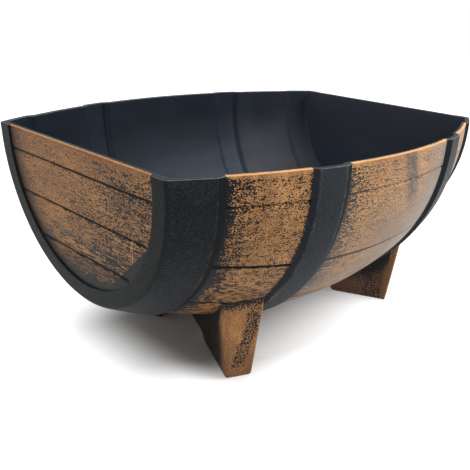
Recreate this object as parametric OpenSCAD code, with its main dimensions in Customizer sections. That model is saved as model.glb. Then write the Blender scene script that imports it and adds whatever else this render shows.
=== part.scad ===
// Half barrel trough planter on four splayed feet, moulded shell with hoops and planked ends.
// Millimetres, +Z up, length along X, floor at zero, barrel axis lying along X.

/* [Overall] */
// Length over the two end lips
overall_length = 604; // [480:4:720]
// Height from the floor to the rim
overall_height = 284; // [275:1:310]

/* [Barrel shell] */
// Radius over the staves at mid length
middle_radius = 235.5; // [215:0.5:255]
// Radius over the staves at the ends
end_radius = 157; // [145:0.5:172]
// Depth of the barrel axis under the rim
axis_drop = 20.5; // [12:0.5:28]
// Wall thickness of the whole moulding
wall = 6.5; // [4.5:0.5:8]

/* [Hoops] */
// Height of the hoops over the staves
hoop_rise = 4.8; // [3:0.1:6.5]
// Width of each middle hoop at its foot
middle_hoop_width = 51; // [42:1:60]
// Distance of the middle hoops from mid length, to their centre
middle_hoop_place = 130.5; // [120:0.5:142]
// Width of each end hoop at its foot
end_hoop_width = 55; // [44:0.5:62]
// Run of the long bevel on a hoop's edge toward mid length
hoop_bevel = 11; // [7:0.5:14]
// Run of the short bevel on a middle hoop's edge toward the end
short_bevel = 5.5; // [3:0.5:9]
// Rounding between an end hoop and the end face
end_rounding = 5; // [3:0.5:9]

/* [Staves and end planks] */
// Angle between neighbouring stave joints
stave_angle = 21.6; // [18:0.1:22]
// Stave joints on each side of the bottom one
side_joints = 4; // [3:1:4]
// Width of a joint between staves or planks
joint_width = 3; // [2:0.5:4]
// Depth of a joint between staves or planks
joint_depth = 2; // [1:0.5:3]
// Width of the lip round an end panel
lip_width = 21; // [16:0.5:26]
// Depth of the end panel behind its lip
panel_recess = 2.5; // [1.5:0.5:4]
// Depth of the first plank joint under the rim
top_plank = 28; // [22:0.5:34]
// Distance between the plank joints under it
plank_pitch = 49; // [44:0.5:53]

/* [Feet] */
// Distance of a foot's outer toe from mid length
toe_x = 175.5; // [162:0.5:188]
// Distance of a foot's outer toe from the middle of the width
toe_y = 139; // [126:0.5:146]
// Turn of each foot away from square
foot_splay = 25; // [14:0.5:32]
// Width of a foot on the floor
foot_width = 36.5; // [30:0.5:44]
// Length of a foot on the floor
foot_length = 92; // [82:1:102]
// Lean of a foot's outer face
toe_lean = 5; // [2:0.5:9]
// Draft of a foot's sides and inner end
foot_draft = 4.5; // [2:0.5:6]
// Rounding of a foot's lower corners
foot_rounding = 6; // [3:0.5:9]
// Rounding of the lower edge of its inner end
heel_rounding = 8; // [4:0.5:12]
// Outward flare of a foot's inner end, reached at the flare's height
heel_flare = 11; // [6:1:16]
// Height over the floor at which the flare has its full reach
flare_height = 41; // [34:1:50]
// Wall thickness of a foot
foot_wall = 4; // [3:0.5:5]
// Thickness of the web inside a foot
web = 3; // [2:0.5:4]
// Clearance between a foot and the shell over it
seat_gap = 0.1; // [0:0.05:0.3]

/* [Screws and drain] */
// Distance of the outer screw from the toe
outer_screw_place = 20; // [16:1:28]
// Distance between the two screws of a foot
screw_pitch = 52; // [44:1:58]
// Diameter of a screw's shank
screw_shank = 5; // [4:0.5:6]
// Clearance round a shank in the shell
shank_clearance = 0.4; // [0.2:0.1:0.6]
// Length of a screw under its head
screw_length = 32; // [28:1:40]
// Diameter of a screw's head
screw_head = 11; // [9:0.5:13]
// Diameter of the screw bosses in a foot
boss_diameter = 13; // [11:0.5:15]
// Diameter of a drain hole
drain_diameter = 13; // [8:1:16]
// Distance of the drain holes from mid length
drain_x = 62; // [40:1:80]
// Distance of the drain holes from the middle of the width
drain_y = 34; // [24:1:44]

/* [Hidden] */
half_length = overall_length / 2;
bulge = middle_radius - end_radius;
arc_radius = (bulge * bulge + half_length * half_length) / (2 * bulge);
arc_centre = middle_radius - arc_radius;
axis_z = overall_height - axis_drop;
end_inside = half_length - panel_recess - wall;
panel_radius = end_radius + hoop_rise - lip_width;
end_hoop_edge = half_length - end_hoop_width;
middle_hoop_near = middle_hoop_place - middle_hoop_width / 2;
middle_hoop_far = middle_hoop_place + middle_hoop_width / 2;
channel_inset = wall * 0.42;
channel_near = middle_hoop_near + channel_inset;
channel_far = middle_hoop_far - channel_inset;
end_channel_edge = end_hoop_edge + channel_inset;
inner_screw_place = outer_screw_place + screw_pitch;
round_steps = 240;
arc_steps = 720;
reach = 2 * middle_radius;
head_height = 3.2;
pad_rise = 0.8;
hoop_clear = 0.4;
pad_diameter = screw_head + 5;
foot_top = overall_height / 2;
rounding_steps = 5;
flare_levels = [0.2, 0.45, 0.7, 1, 1.4, 2];

// Radius over the staves at a place along the length
function stave_radius(x) = arc_centre + sqrt(arc_radius * arc_radius - x * x);

// Underside of the shell at a place on the floor plan
function shell_under(x, y) = axis_z - sqrt(pow(stave_radius(x), 2) - y * y);

// Place of a foot's centre line at a distance in from its toe
function foot_point(s) = [toe_x - s * sin(foot_splay), toe_y - s * cos(foot_splay)];

// Height of the flat seat under a screw head
function head_seat(s) =
  shell_under(foot_point(s)[0] + pad_diameter / 2, foot_point(s)[1] + pad_diameter / 2)
  + 1.2 * wall + pad_rise;

// Points of a rounding between two directions
function rounding(centre, r, from, to) = [
  for (step = [0 : rounding_steps])
    let (turn = from + (to - from) * step / rounding_steps)
      [centre[0] + r * cos(turn), centre[1] + r * sin(turn)]
];

// Turns a flat profile of radius and length into a barrel lying along X
module lathe() {
  translate([0, 0, axis_z])
    rotate([0, 90, 0])
      rotate_extrude($fn = round_steps)
        children();
}

// Draws a flat profile for one half of the length and mirrors it to the other
module both_halves() {
  children();
  mirror([0, 1])
    children();
}

// Long outline of the staves, grown by an amount, between two places
module stave_outline(grow, from, to) {
  intersection() {
    translate([arc_centre, 0])
      circle(r = arc_radius + grow, $fn = arc_steps);
    translate([0, from])
      square([reach, to - from]);
  }
}

// Band that limits a hoop in the flat profile, with a bevel from each foot up to its ridge
module hoop_limits(from, to, from_bevel, to_bevel) {
  low = stave_radius(max(from, to)) - wall - 2 * hoop_rise;
  high = stave_radius(from) + 4 * hoop_rise;
  foot_a = [stave_radius(from), from];
  foot_b = [stave_radius(to), to];
  ridge_a = [stave_radius(from + from_bevel) + hoop_rise, from + from_bevel];
  ridge_b = [stave_radius(to - to_bevel) + hoop_rise, to - to_bevel];
  below_a = foot_a - (ridge_a - foot_a) / 2;
  below_b = foot_b - (ridge_b - foot_b) / 2;
  polygon([
    [low, below_a[1]],
    below_a,
    ridge_a,
    [high, ridge_a[1]],
    [high, ridge_b[1]],
    ridge_b,
    below_b,
    [low, below_b[1]]
  ]);
}

// One middle hoop with bevelled edges
module middle_hoop_outline(grow) {
  intersection() {
    stave_outline(hoop_rise + grow, middle_hoop_near - 20, middle_hoop_far + 20);
    hoop_limits(middle_hoop_near - grow, middle_hoop_far + grow, hoop_bevel, short_bevel);
  }
}

// Waste outside the rounding between an end hoop and the end face
module end_corner_waste(grow) {
  centre_x = half_length - end_rounding;
  inner_radius = arc_radius + hoop_rise - end_rounding;
  centre_r = arc_centre + sqrt(inner_radius * inner_radius - centre_x * centre_x);
  lean = asin(centre_x / inner_radius);
  bend = rounding([centre_r, centre_x], end_rounding + grow, lean, 90);
  start = bend[0] + 3 * (bend[0] - bend[1]);
  stop = bend[rounding_steps] + 3 * (bend[rounding_steps] - bend[rounding_steps - 1]);
  polygon(concat(
    [start],
    [for (step = [1 : rounding_steps - 1]) bend[step]],
    [stop, [stop[0], half_length + 20], [start[0] + 30, half_length + 20], [start[0] + 30, start[1]]]
  ));
}

// End hoop with its rounded corner onto the end face
module end_hoop_outline(grow) {
  difference() {
    intersection() {
      stave_outline(hoop_rise + grow, end_hoop_edge - 20, half_length);
      hoop_limits(end_hoop_edge - grow, half_length + 40, hoop_bevel, short_bevel);
    }
    end_corner_waste(grow);
  }
}

// Whole outside of the barrel, grown by an amount
module barrel_outside(grow) {
  lathe() {
    stave_outline(grow, -half_length + 1, half_length - 1);
    both_halves() {
      middle_hoop_outline(grow);
      end_hoop_outline(grow);
    }
  }
}

// Hollow of the trough, with the channels behind the hoops
module barrel_inside() {
  lathe() {
    stave_outline(-wall, -end_inside, end_inside);
    both_halves() {
      intersection() {
        stave_outline(hoop_rise - wall, middle_hoop_near - 20, middle_hoop_far + 20);
        translate([-wall, 0])
          hoop_limits(channel_near, channel_far, hoop_bevel, short_bevel);
      }
      intersection() {
        stave_outline(hoop_rise - wall, end_hoop_edge - 20, end_inside);
        translate([-wall, 0])
          hoop_limits(end_channel_edge, half_length + 40, hoop_bevel, short_bevel);
      }
    }
  }
}

// Thin skin of the staves between two hoops, as deep as a joint
module joint_skin(from, to) {
  difference() {
    stave_outline(2, from + hoop_clear, to - hoop_clear);
    stave_outline(-joint_depth, from - 1, to + 1);
  }
}

// Joints between staves, sunk into the stave surface and stopped at the hoops
module stave_joints() {
  intersection() {
    lathe() {
      joint_skin(-middle_hoop_near, middle_hoop_near);
      both_halves()
        joint_skin(middle_hoop_far, end_hoop_edge);
    }
    translate([0, 0, axis_z])
      for (step = [-side_joints : side_joints])
        rotate([step * stave_angle, 0, 0])
          translate([-half_length, -joint_width / 2, -reach])
            cube([overall_length, joint_width, reach]);
  }
}

// Recessed end panel with its plank joints, for the end at the positive side
module end_recess() {
  translate([half_length - panel_recess, 0, axis_z])
    rotate([0, 90, 0])
      cylinder(h = panel_recess + 5, r = panel_radius, $fn = round_steps);
  intersection() {
    translate([half_length - panel_recess - joint_depth - 1, 0, axis_z])
      rotate([0, 90, 0])
        cylinder(h = 20, r = panel_radius, $fn = round_steps);
    for (row = [0 : 2])
      translate([half_length - panel_recess, 0, overall_height - top_plank - row * plank_pitch])
        rotate([0, 45, 0])
          cube([joint_depth * 1.42, overall_length, joint_depth * 1.42], center = true);
  }
}

// Repeats a piece at all eight screws, given for the corner at positive X and positive Y
module at_each_foot() {
  children();
  mirror([1, 0, 0])
    children();
  mirror([0, 1, 0])
    children();
  rotate([0, 0, 180])
    children();
}

// Raised flat pads under the screw heads of one foot
module screw_pads() {
  for (s = [outer_screw_place, inner_screw_place])
    translate([foot_point(s)[0], foot_point(s)[1], head_seat(s) - 16])
      cylinder(h = 16, d = pad_diameter, $fn = 60);
}

// Clearance bores of one foot's screws, with room over the flat seats
module screw_bores() {
  for (s = [outer_screw_place, inner_screw_place])
    translate([foot_point(s)[0], foot_point(s)[1], 0]) {
      cylinder(h = overall_height / 2, d = screw_shank + 2 * shank_clearance, $fn = 60);
      translate([0, 0, head_seat(s)])
        cylinder(h = 12, d = pad_diameter, $fn = 60);
    }
}

module trough_shell()
  color([0.20, 0.21, 0.23])
    difference() {
      union() {
        difference() {
          barrel_outside(0);
          barrel_inside();
          stave_joints();
          end_recess();
          mirror([1, 0, 0])
            end_recess();
        }
        intersection() {
          at_each_foot()
            screw_pads();
          barrel_outside(-1.5);
        }
      }
      translate([-reach, -reach, overall_height])
        cube([2 * reach, 2 * reach, reach]);
      at_each_foot()
        screw_bores();
      for (sx = [-1, 1])
        for (sy = [-1, 1])
          translate([sx * drain_x, sy * drain_y, 0])
            cylinder(h = overall_height / 2, d = drain_diameter, $fn = 60);
    }

// Distance from a corner with a drafted side to the centre of its rounding
function corner_run(r) = r * tan((90 - foot_draft) / 2);

// Side view of a foot: upright toe that leans out, rounded heel, flat sole
module foot_side(inset) {
  heel = foot_length - inset;
  heel_centre = [heel - corner_run(heel_rounding), inset + heel_rounding];
  polygon(concat(
    [[inset, inset]],
    rounding(heel_centre, heel_rounding, -90, -foot_draft),
    [
      [foot_length - inset + foot_top * tan(foot_draft), foot_top],
      [inset - foot_top * tan(toe_lean), foot_top]
    ]
  ));
}

// Front view of a foot: both sides drafted, both lower corners rounded
module foot_front(inset) {
  side = foot_width / 2 - inset;
  centre_x = side - corner_run(foot_rounding);
  polygon(concat(
    rounding([centre_x, inset + foot_rounding], foot_rounding, -90, -foot_draft),
    [
      [side + foot_top * tan(foot_draft), foot_top],
      [-side - foot_top * tan(foot_draft), foot_top]
    ],
    rounding([-centre_x, inset + foot_rounding], foot_rounding, 180 + foot_draft, 270)
  ));
}

// Point on the flare of a foot's inner end, out from a side of the foot
function flare_point(side, level, inset) = [
  side + level * flare_height * tan(foot_draft) + heel_flare * level * level - 0.5 - inset,
  level * flare_height
];

// Side view of a foot's inner end, which leans out ever more toward the shell
module flare_side(inset) {
  start = foot_length / 2;
  last = len(flare_levels) - 1;
  polygon(concat(
    [[start, flare_levels[0] * flare_height]],
    [for (level = flare_levels) flare_point(foot_length, level, inset)],
    [[start, flare_levels[last] * flare_height]]
  ));
}

// Front view of a foot's inner end, which widens ever more toward the shell
module flare_front(inset) {
  last = len(flare_levels) - 1;
  right = [for (level = flare_levels) flare_point(foot_width / 2, level, inset)];
  left = [for (step = [last : -1 : 0]) [-right[step][0], right[step][1]]];
  polygon(concat(right, left));
}

// Plan of the flared inner end, as narrow as the foot halfway along it
module flare_plan(inset) {
  corner = 1.5 * heel_rounding;
  side = foot_width / 2 + heel_flare + 3 - inset;
  heel = foot_length + heel_flare + 3 - inset;
  narrow = foot_width / 2 - 1 - inset;
  polygon(concat(
    [[-narrow, foot_length / 2], [narrow, foot_length / 2]],
    rounding([side - corner, heel - corner], corner, 0, 90),
    rounding([corner - side, heel - corner], corner, 90, 180)
  ));
}

// Inner end of a foot as it flares out toward the shell
module heel_flare_block(inset) {
  intersection() {
    rotate([90, 0, 90])
      translate([0, 0, -foot_width * 2])
        linear_extrude(height = foot_width * 4)
          flare_side(inset);
    rotate([90, 0, 0])
      translate([0, 0, -foot_length * 2])
        linear_extrude(height = foot_length * 3)
          flare_front(inset);
    linear_extrude(height = foot_top)
      flare_plan(inset);
  }
}

// Outside of a foot before it is fitted to the shell, toe at the origin, inward along +Y
module foot_block(inset) {
  heel_flare_block(inset);
  intersection() {
    rotate([90, 0, 90])
      translate([0, 0, -foot_width * 2])
        linear_extrude(height = foot_width * 4)
          foot_side(inset);
    rotate([90, 0, 0])
      translate([0, 0, -foot_length * 2])
        linear_extrude(height = foot_length * 3)
          foot_front(inset);
  }
}

// A foot in its own place at the positive X and positive Y corner
module foot_corner() {
  difference() {
    translate([toe_x, toe_y, 0])
      rotate([0, 0, 180 - foot_splay])
        foot_body();
    barrel_outside(seat_gap);
    for (s = [outer_screw_place, inner_screw_place])
      translate([foot_point(s)[0], foot_point(s)[1], head_seat(s) - screw_length - 1])
        cylinder(h = screw_length + 20, d = screw_shank, $fn = 60);
  }
}

// Hollow foot, open toward the shell, with its two screw bosses and the web between them
module foot_body() {
  difference() {
    foot_block(0);
    foot_block(foot_wall);
  }
  intersection() {
    union() {
      for (s = [outer_screw_place, inner_screw_place])
        translate([0, s, 0])
          cylinder(h = foot_top, d = boss_diameter, $fn = 60);
      translate([-web / 2, -foot_length / 2, 0])
        cube([web, 2 * foot_length, foot_top]);
    }
    foot_block(foot_wall / 2);
  }
}

// Carries a piece from the corner at positive X and positive Y to another corner
module placed(sx, sy) {
  if (sx < 0 && sy < 0)
    rotate([0, 0, 180])
      children();
  else if (sx < 0)
    mirror([1, 0, 0])
      children();
  else if (sy < 0)
    mirror([0, 1, 0])
      children();
  else
    children();
}

module painted_foot(sx, sy)
  color([0.66, 0.42, 0.22])
    placed(sx, sy)
      foot_corner();

// Pan head screw with a cross recess, standing in its boss
module screw(s) {
  place = foot_point(s);
  seat = head_seat(s);
  translate([place[0], place[1], seat])
    difference() {
      union() {
        intersection() {
          cylinder(h = head_height, d = screw_head, $fn = 60);
          translate([0, 0, head_height - screw_head])
            sphere(r = screw_head, $fn = 96);
        }
        translate([0, 0, -screw_length + screw_shank])
          cylinder(h = screw_length - screw_shank + 1, d = screw_shank, $fn = 60);
        translate([0, 0, -screw_length])
          cylinder(h = screw_shank, d1 = 0.8, d2 = screw_shank, $fn = 60);
      }
      for (turn = [0, 90])
        rotate([0, 0, turn])
          translate([-screw_head * 0.28, -0.6, head_height - 1.8])
            cube([screw_head * 0.56, 1.2, 6]);
    }
}

module steel_screw(sx, sy, s)
  color([0.70, 0.71, 0.73])
    placed(sx, sy)
      screw(s);

trough_shell();
painted_foot(-1, -1);  // foot_near_left
painted_foot(1, -1);  // foot_near_right
painted_foot(-1, 1);  // foot_far_left
painted_foot(1, 1);  // foot_far_right
steel_screw(-1, -1, outer_screw_place);  // screw_near_left_outer
steel_screw(-1, -1, inner_screw_place);  // screw_near_left_inner
steel_screw(1, -1, outer_screw_place);  // screw_near_right_outer
steel_screw(1, -1, inner_screw_place);  // screw_near_right_inner
steel_screw(-1, 1, outer_screw_place);  // screw_far_left_outer
steel_screw(-1, 1, inner_screw_place);  // screw_far_left_inner
steel_screw(1, 1, outer_screw_place);  // screw_far_right_outer
steel_screw(1, 1, inner_screw_place);  // screw_far_right_inner
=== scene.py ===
import math
from collections import namedtuple

import bmesh
import bpy
import numpy as np
from mathutils import Matrix, Vector


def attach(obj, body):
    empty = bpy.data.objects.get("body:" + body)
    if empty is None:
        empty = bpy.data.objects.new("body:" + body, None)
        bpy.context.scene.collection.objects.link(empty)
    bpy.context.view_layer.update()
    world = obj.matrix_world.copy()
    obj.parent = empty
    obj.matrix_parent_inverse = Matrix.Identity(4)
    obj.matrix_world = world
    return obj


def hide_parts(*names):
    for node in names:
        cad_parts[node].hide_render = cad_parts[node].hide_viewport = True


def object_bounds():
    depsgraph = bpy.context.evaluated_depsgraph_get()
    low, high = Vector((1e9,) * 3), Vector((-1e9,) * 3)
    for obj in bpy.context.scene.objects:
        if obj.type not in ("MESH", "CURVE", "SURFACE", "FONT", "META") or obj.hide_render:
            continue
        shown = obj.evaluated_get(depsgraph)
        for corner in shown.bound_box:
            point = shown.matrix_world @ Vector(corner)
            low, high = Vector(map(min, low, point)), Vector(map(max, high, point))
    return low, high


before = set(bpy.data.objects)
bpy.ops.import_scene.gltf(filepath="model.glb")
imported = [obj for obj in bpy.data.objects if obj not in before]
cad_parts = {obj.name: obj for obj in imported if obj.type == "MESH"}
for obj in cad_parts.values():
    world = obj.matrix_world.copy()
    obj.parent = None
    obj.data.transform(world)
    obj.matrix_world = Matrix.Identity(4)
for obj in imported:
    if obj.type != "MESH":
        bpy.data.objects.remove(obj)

CAD_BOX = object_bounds()
MM = 0.001
BLACK = (0.0, 0.0, 0.0)
WHITE = (1.0, 1.0, 1.0)

bl_info = {
    "name": "Half barrel trough planter",
    "version": (1, 0, 0),
    "blender": (4, 5, 0),
    "location": "3D View > Sidebar > Planter",
    "description": "Moulded half barrel trough with hoops, planked ends, splayed feet and brushed paint",
    "category": "Object",
}

# Finishes of the shell, stored on its faces
INSIDE, STAVES, PLANKS, HOOPS, RIM = range(5)

# Corners of the object, as signs along X and Y, with their words
CORNERS = {
    "near_left": (-1, -1),
    "near_right": (1, -1),
    "far_left": (-1, 1),
    "far_right": (1, 1),
}


def length(name, description, default, low=0.0):
    return bpy.props.FloatProperty(
        name=name, description=description, default=default, min=low, subtype="DISTANCE", unit="LENGTH"
    )


def turn(name, description, degrees):
    return bpy.props.FloatProperty(
        name=name, description=description, default=math.radians(degrees), subtype="ANGLE", unit="ROTATION"
    )


def colour(name, description, default):
    return bpy.props.FloatVectorProperty(
        name=name, description=description, default=default, size=3, min=0.0, max=1.0, subtype="COLOR"
    )


def amount(name, description, default, low=0.0, high=1.0):
    return bpy.props.FloatProperty(name=name, description=description, default=default, min=low, max=high)


class ShellSizes(bpy.types.PropertyGroup):
    """Sizes of the moulded barrel shell"""

    overall_length: length("Length", "Length over the two end lips", CAD_BOX[1][0] - CAD_BOX[0][0])
    overall_height: length("Height", "Height from the floor to the rim", CAD_BOX[1][2] - CAD_BOX[0][2])
    middle_radius: length("Middle radius", "Radius over the staves at mid length", 0.2355)
    end_radius: length("End radius", "Radius over the staves at the ends", 0.157)
    axis_drop: length("Axis drop", "Depth of the barrel axis under the rim", 0.0205)
    wall: length("Wall", "Wall thickness of the moulding", 0.0065)
    hoop_rise: length("Hoop rise", "Height of the hoops over the staves", 0.0048)
    middle_hoop_place: length("Middle hoop place", "Distance of a middle hoop from mid length", 0.1305)
    middle_hoop_width: length("Middle hoop width", "Width of a middle hoop at its foot", 0.051)
    end_hoop_width: length("End hoop width", "Width of an end hoop at its foot", 0.055)
    hoop_bevel: length("Hoop bevel", "Run of the long bevel on a hoop's edge toward mid length", 0.011)
    short_bevel: length("Short bevel", "Run of the bevel on a middle hoop's edge toward the end", 0.0055)
    end_rounding: length("End rounding", "Rounding between an end hoop and the end face", 0.005)
    edge_rounding: length("Edge rounding", "Rounding of the hoop ridges", 0.0020)
    rim_rounding: length("Rim rounding", "Rounding of both edges of the rim", 0.0012)
    stave_angle: turn("Stave angle", "Angle between neighbouring stave joints", 21.6)
    joint_depth: length("Joint depth", "Depth of a joint between staves or planks", 0.002)
    joint_width: length("Joint width", "Width of a joint between staves or planks", 0.003)
    lip_width: length("Lip width", "Width of the lip round an end panel", 0.021)
    panel_recess: length("Panel recess", "Depth of the end panel behind its lip", 0.0025)
    top_plank: length("Top plank", "Depth of the first plank joint under the rim", 0.028)
    plank_pitch: length("Plank pitch", "Distance between the plank joints", 0.049)
    ripple: length("Ripple", "Depth of the hand worked ripple in the moulding", 0.00035)
    drain_diameter: length("Drain hole", "Diameter of a drain hole", 0.013)
    drain_x: length("Drain place along", "Distance of the drain holes from mid length", 0.062)
    drain_y: length("Drain place across", "Distance of the drain holes from the middle of the width", 0.034)


class FootSizes(bpy.types.PropertyGroup):
    """Sizes of one splayed foot and of the places of its screws"""

    toe_x: length("Toe along", "Distance of a foot's outer toe from mid length", 0.1755)
    toe_y: length("Toe across", "Distance of a foot's outer toe from the middle of the width", 0.139)
    splay: turn("Splay", "Turn of each foot away from square", 25.0)
    width: length("Width", "Width of a foot on the floor", 0.0365)
    length: length("Length", "Length of a foot on the floor", 0.092)
    toe_lean: turn("Toe lean", "Lean of a foot's outer face", 5.0)
    draft: turn("Draft", "Draft of a foot's sides and inner end", 4.5)
    heel_flare: length("Heel flare", "Outward flare of a foot's inner end at the flare's height", 0.011)
    flare_height: length("Flare height", "Height at which the flare has its full reach", 0.041)
    side_rounding: length("Lower side rounding", "Rounding of a foot's lower side edges", 0.006)
    heel_rounding: length("Heel rounding", "Rounding of the lower edge of its inner end", 0.008)
    toe_rounding: length("Toe rounding", "Rounding of the lower edge of its outer face", 0.0025)
    corner_rounding: length("Corner rounding", "Rounding of a foot's upright edges", 0.0028)
    wall: length("Wall", "Wall thickness of a foot", 0.004)
    seat_gap: length("Seat gap", "Clearance between a foot and the shell over it", 0.0001)
    outer_screw: length("Outer screw", "Distance of the outer screw from the toe", 0.020)
    screw_pitch: length("Screw pitch", "Distance between the two screws of a foot", 0.052)


class ScrewSizes(bpy.types.PropertyGroup):
    """Sizes of a pan head screw and of the pad under it"""

    head: length("Head", "Diameter of the head", 0.011)
    head_height: length("Head height", "Height of the head", 0.0032)
    shank: length("Shank", "Diameter of the shank", 0.005)
    screw_length: length("Screw length", "Length under the head", 0.032)
    recess: length("Recess", "Span of the cross recess", 0.0062)
    recess_width: length("Recess width", "Width of a blade of the cross recess", 0.0012)
    recess_depth: length("Recess depth", "Depth of the cross recess", 0.0018)
    pad: length("Pad", "Diameter of the flat pad under the head", 0.016)
    pad_rise: length("Pad rise", "Height of the pad over the wall", 0.0008)
    clearance: length("Clearance", "Clearance round the shank in the shell", 0.0004)
    seed: bpy.props.IntProperty(name="Seed", description="Seed for how far each screw is turned", default=7)


class Finishes(bpy.types.PropertyGroup):
    """Colours of the resin, the brushed paint and the steel"""

    resin: colour("Resin", "Charcoal resin of the hoops", (0.0056, 0.0066, 0.0080))
    hoop_fleck: colour("Hoop fleck", "Raised spots of the hoops' grain", (0.02352, 0.02772, 0.0336))
    # Lighter copy of the resin, painted light on the end lips that face away from the key lamp
    lip_resin: colour("Lip resin", "Paler resin on the end lips", (0.0085, 0.0100, 0.0105))
    inner_resin: colour("Inner resin", "Smoother blue grey resin inside", (0.0115, 0.0155, 0.0230))
    # Lightest colour of the inside, used for painted sheen and painted light
    inner_bloom: colour("Inner bloom", "Palest satin resin inside", (0.0368, 0.0496, 0.0736))
    paint: colour("Paint", "Orange brown brushed paint", (0.415, 0.188, 0.068))
    paint_warm: colour("Warm paint", "Brighter patches of the paint", (0.690, 0.365, 0.148))
    # Brighter paint for the rim's top, painted light where it faces up
    rim_paint: colour("Rim paint", "Brightest paint along the rim", (0.8625, 0.45625, 0.185))
    paint_dull: colour("Dull paint", "Browner patches of the paint", (0.235, 0.108, 0.058))
    # Colour of the painted sheen, a reflection on the middle and right staves
    pale_paint: colour("Pale paint", "Weathered paint on the middle staves", (0.320, 0.268, 0.225))
    rubbed_paint: colour("Rubbed paint", "Grey smear across the middle staves", (0.095, 0.090, 0.088))
    foot_shade: colour("Foot shade", "Red brown on the feet's sides toward mid length", (0.185, 0.104, 0.078))
    foot_end_shade: colour("Foot end shade", "Red brown on the feet's end sides", (0.1295, 0.0728, 0.0546))
    # Partly wear, partly a painted highlight along the hoops' ridges
    worn: colour("Worn edge", "Resin rubbed light along edges", (0.070, 0.082, 0.095))
    # Partly wear, partly a painted highlight along the rim's edges
    rim_worn: colour("Worn rim", "Resin rubbed bright along the rim's edges", (0.182, 0.2132, 0.247))
    # Lighter colour inside: cloudy patches toward the right end, and painted light on the end walls
    chalk: colour("Chalk", "Pale bloom on the inside toward one end", (0.086, 0.086, 0.094))
    steel: colour("Steel", "Plated steel of the screws", (0.60, 0.60, 0.58))
    steel_shade: colour("Steel shade", "Darker marks on the screws", (0.36, 0.36, 0.348))


class StageSettings(bpy.types.PropertyGroup):
    """Camera, lamps and floor"""

    camera_x: length("Camera X", "Camera place along the length", -0.6113, low=-10.0)
    camera_y: length("Camera Y", "Camera place across the width", -0.5633, low=-10.0)
    camera_z: length("Camera Z", "Camera height over the floor", 0.4267)
    heading: turn("Heading", "Turn of the view from +Y towards +X", 47.887)
    tilt: turn("Tilt", "How far the view looks down", 28.869)
    roll: turn("Roll", "Roll of the camera", 3.15)
    focal_share: amount("Focal share", "Focal length as a share of the picture width", 1.2086, 0.1, 10.0)
    shift_x: amount("Shift X", "Sideways shift of the picture", -0.0510, -1.0)
    shift_y: amount("Shift Y", "Upward shift of the picture", 0.1724, -1.0)
    key_power: amount("Key", "Power of the lamp in front at the right, in watts", 30.0, 0.0, 1000.0)
    top_power: amount("Top", "Power of the lamp high up at the left, in watts", 9.0, 0.0, 1000.0)
    sky: amount("Sky", "Strength of the even light all round", 0.45, 0.0, 10.0)


GROUPS = {
    "planter_shell": ShellSizes,
    "planter_feet": FootSizes,
    "planter_screws": ScrewSizes,
    "planter_finishes": Finishes,
    "planter_stage": StageSettings,
}


class Number:
    """A number in a node tree that can be worked with as a plain number is."""

    def __init__(self, tree, socket):
        self.tree = tree
        self.socket = socket

    def math(self, operation, *others):
        values = dict(enumerate((self, *others)))
        return Number(self.tree, add_node(self.tree, "ShaderNodeMath", values, operation=operation)[0])

    def __add__(self, other):
        return self.math("ADD", other)

    def __radd__(self, other):
        return self.math("ADD", other)

    def __sub__(self, other):
        return self.math("SUBTRACT", other)

    def __rsub__(self, other):
        return self.math("MULTIPLY", -1.0).math("ADD", other)

    def __neg__(self):
        return self.math("MULTIPLY", -1.0)

    def __mul__(self, other):
        return self.math("MULTIPLY", other)

    def __truediv__(self, other):
        return self.math("DIVIDE", other)

    def __abs__(self):
        return self.math("ABSOLUTE")

    def root(self):
        return self.math("SQRT")

    def at_least(self, other):
        return self.math("MAXIMUM", other)

    def at_most(self, other):
        return self.math("MINIMUM", other)

    def ramp(self, low, high, bottom=0.0, top=1.0):
        """Runs smoothly from bottom to top while the number goes from low to high."""
        values = {"Value": self, "From Min": low, "From Max": high, "To Min": bottom, "To Max": top}
        return Number(
            self.tree, add_node(self.tree, "ShaderNodeMapRange", values, interpolation_type="SMOOTHSTEP")[0]
        )

    def fall(self, low, high, top=1.0, bottom=0.0):
        """Runs smoothly from top down to bottom while the number goes from low to high."""
        return self.ramp(low, high, top, bottom)

    def between(self, low, high, soft):
        """1 between low and high, with a soft edge inside each."""
        return self.ramp(low, low + soft) * self.fall(high - soft, high)


def feed(tree, value, socket):
    """Links a socket or a Number to a socket, or sets a plain value or a colour on it."""
    if isinstance(value, Number):
        value = value.socket
    if isinstance(value, bpy.types.NodeSocket):
        tree.links.new(value, socket)
    elif socket.type == "RGBA":
        socket.default_value = (*value, 1.0)
    else:
        socket.default_value = value


def add_node(tree, kind, inputs=(), **settings):
    """Adds a node with its settings, feeds its inputs by name or place and returns its outputs."""
    node = tree.nodes.new(kind)
    for name, value in settings.items():
        setattr(node, name, value)
    for name, value in dict(inputs).items():
        feed(tree, value, node.inputs[name])
    return node.outputs


def by_name(tree, sockets):
    """Sockets by their names, the numbers among them ready to be worked with."""
    return {socket.name: Number(tree, socket) if socket.type == "VALUE" else socket for socket in sockets}


def vector(tree, x, y, z):
    """A vector made of three numbers."""
    return add_node(tree, "ShaderNodeCombineXYZ", {"X": x, "Y": y, "Z": z})[0]


def split(tree, socket):
    """The three numbers of a vector."""
    return [Number(tree, out) for out in add_node(tree, "ShaderNodeSeparateXYZ", {"Vector": socket})]


def distance(a, b):
    """Length of a line from its two parts at right angles to each other."""
    return (a * a + b * b).root()


def noise(tree, place, scale=1.0, detail=2.0):
    """Noise from 0 to 1 at a place, with scale in ripples per metre."""
    values = {"Vector": place, "Scale": scale, "Detail": detail}
    return Number(tree, add_node(tree, "ShaderNodeTexNoise", values)[0])


def blend(tree, share, first, second):
    """Mixes two colours by a share. The colour sockets of a mix node are known by their places."""
    return add_node(tree, "ShaderNodeMix", {0: share, 6: first, 7: second}, data_type="RGBA")[2]


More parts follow.
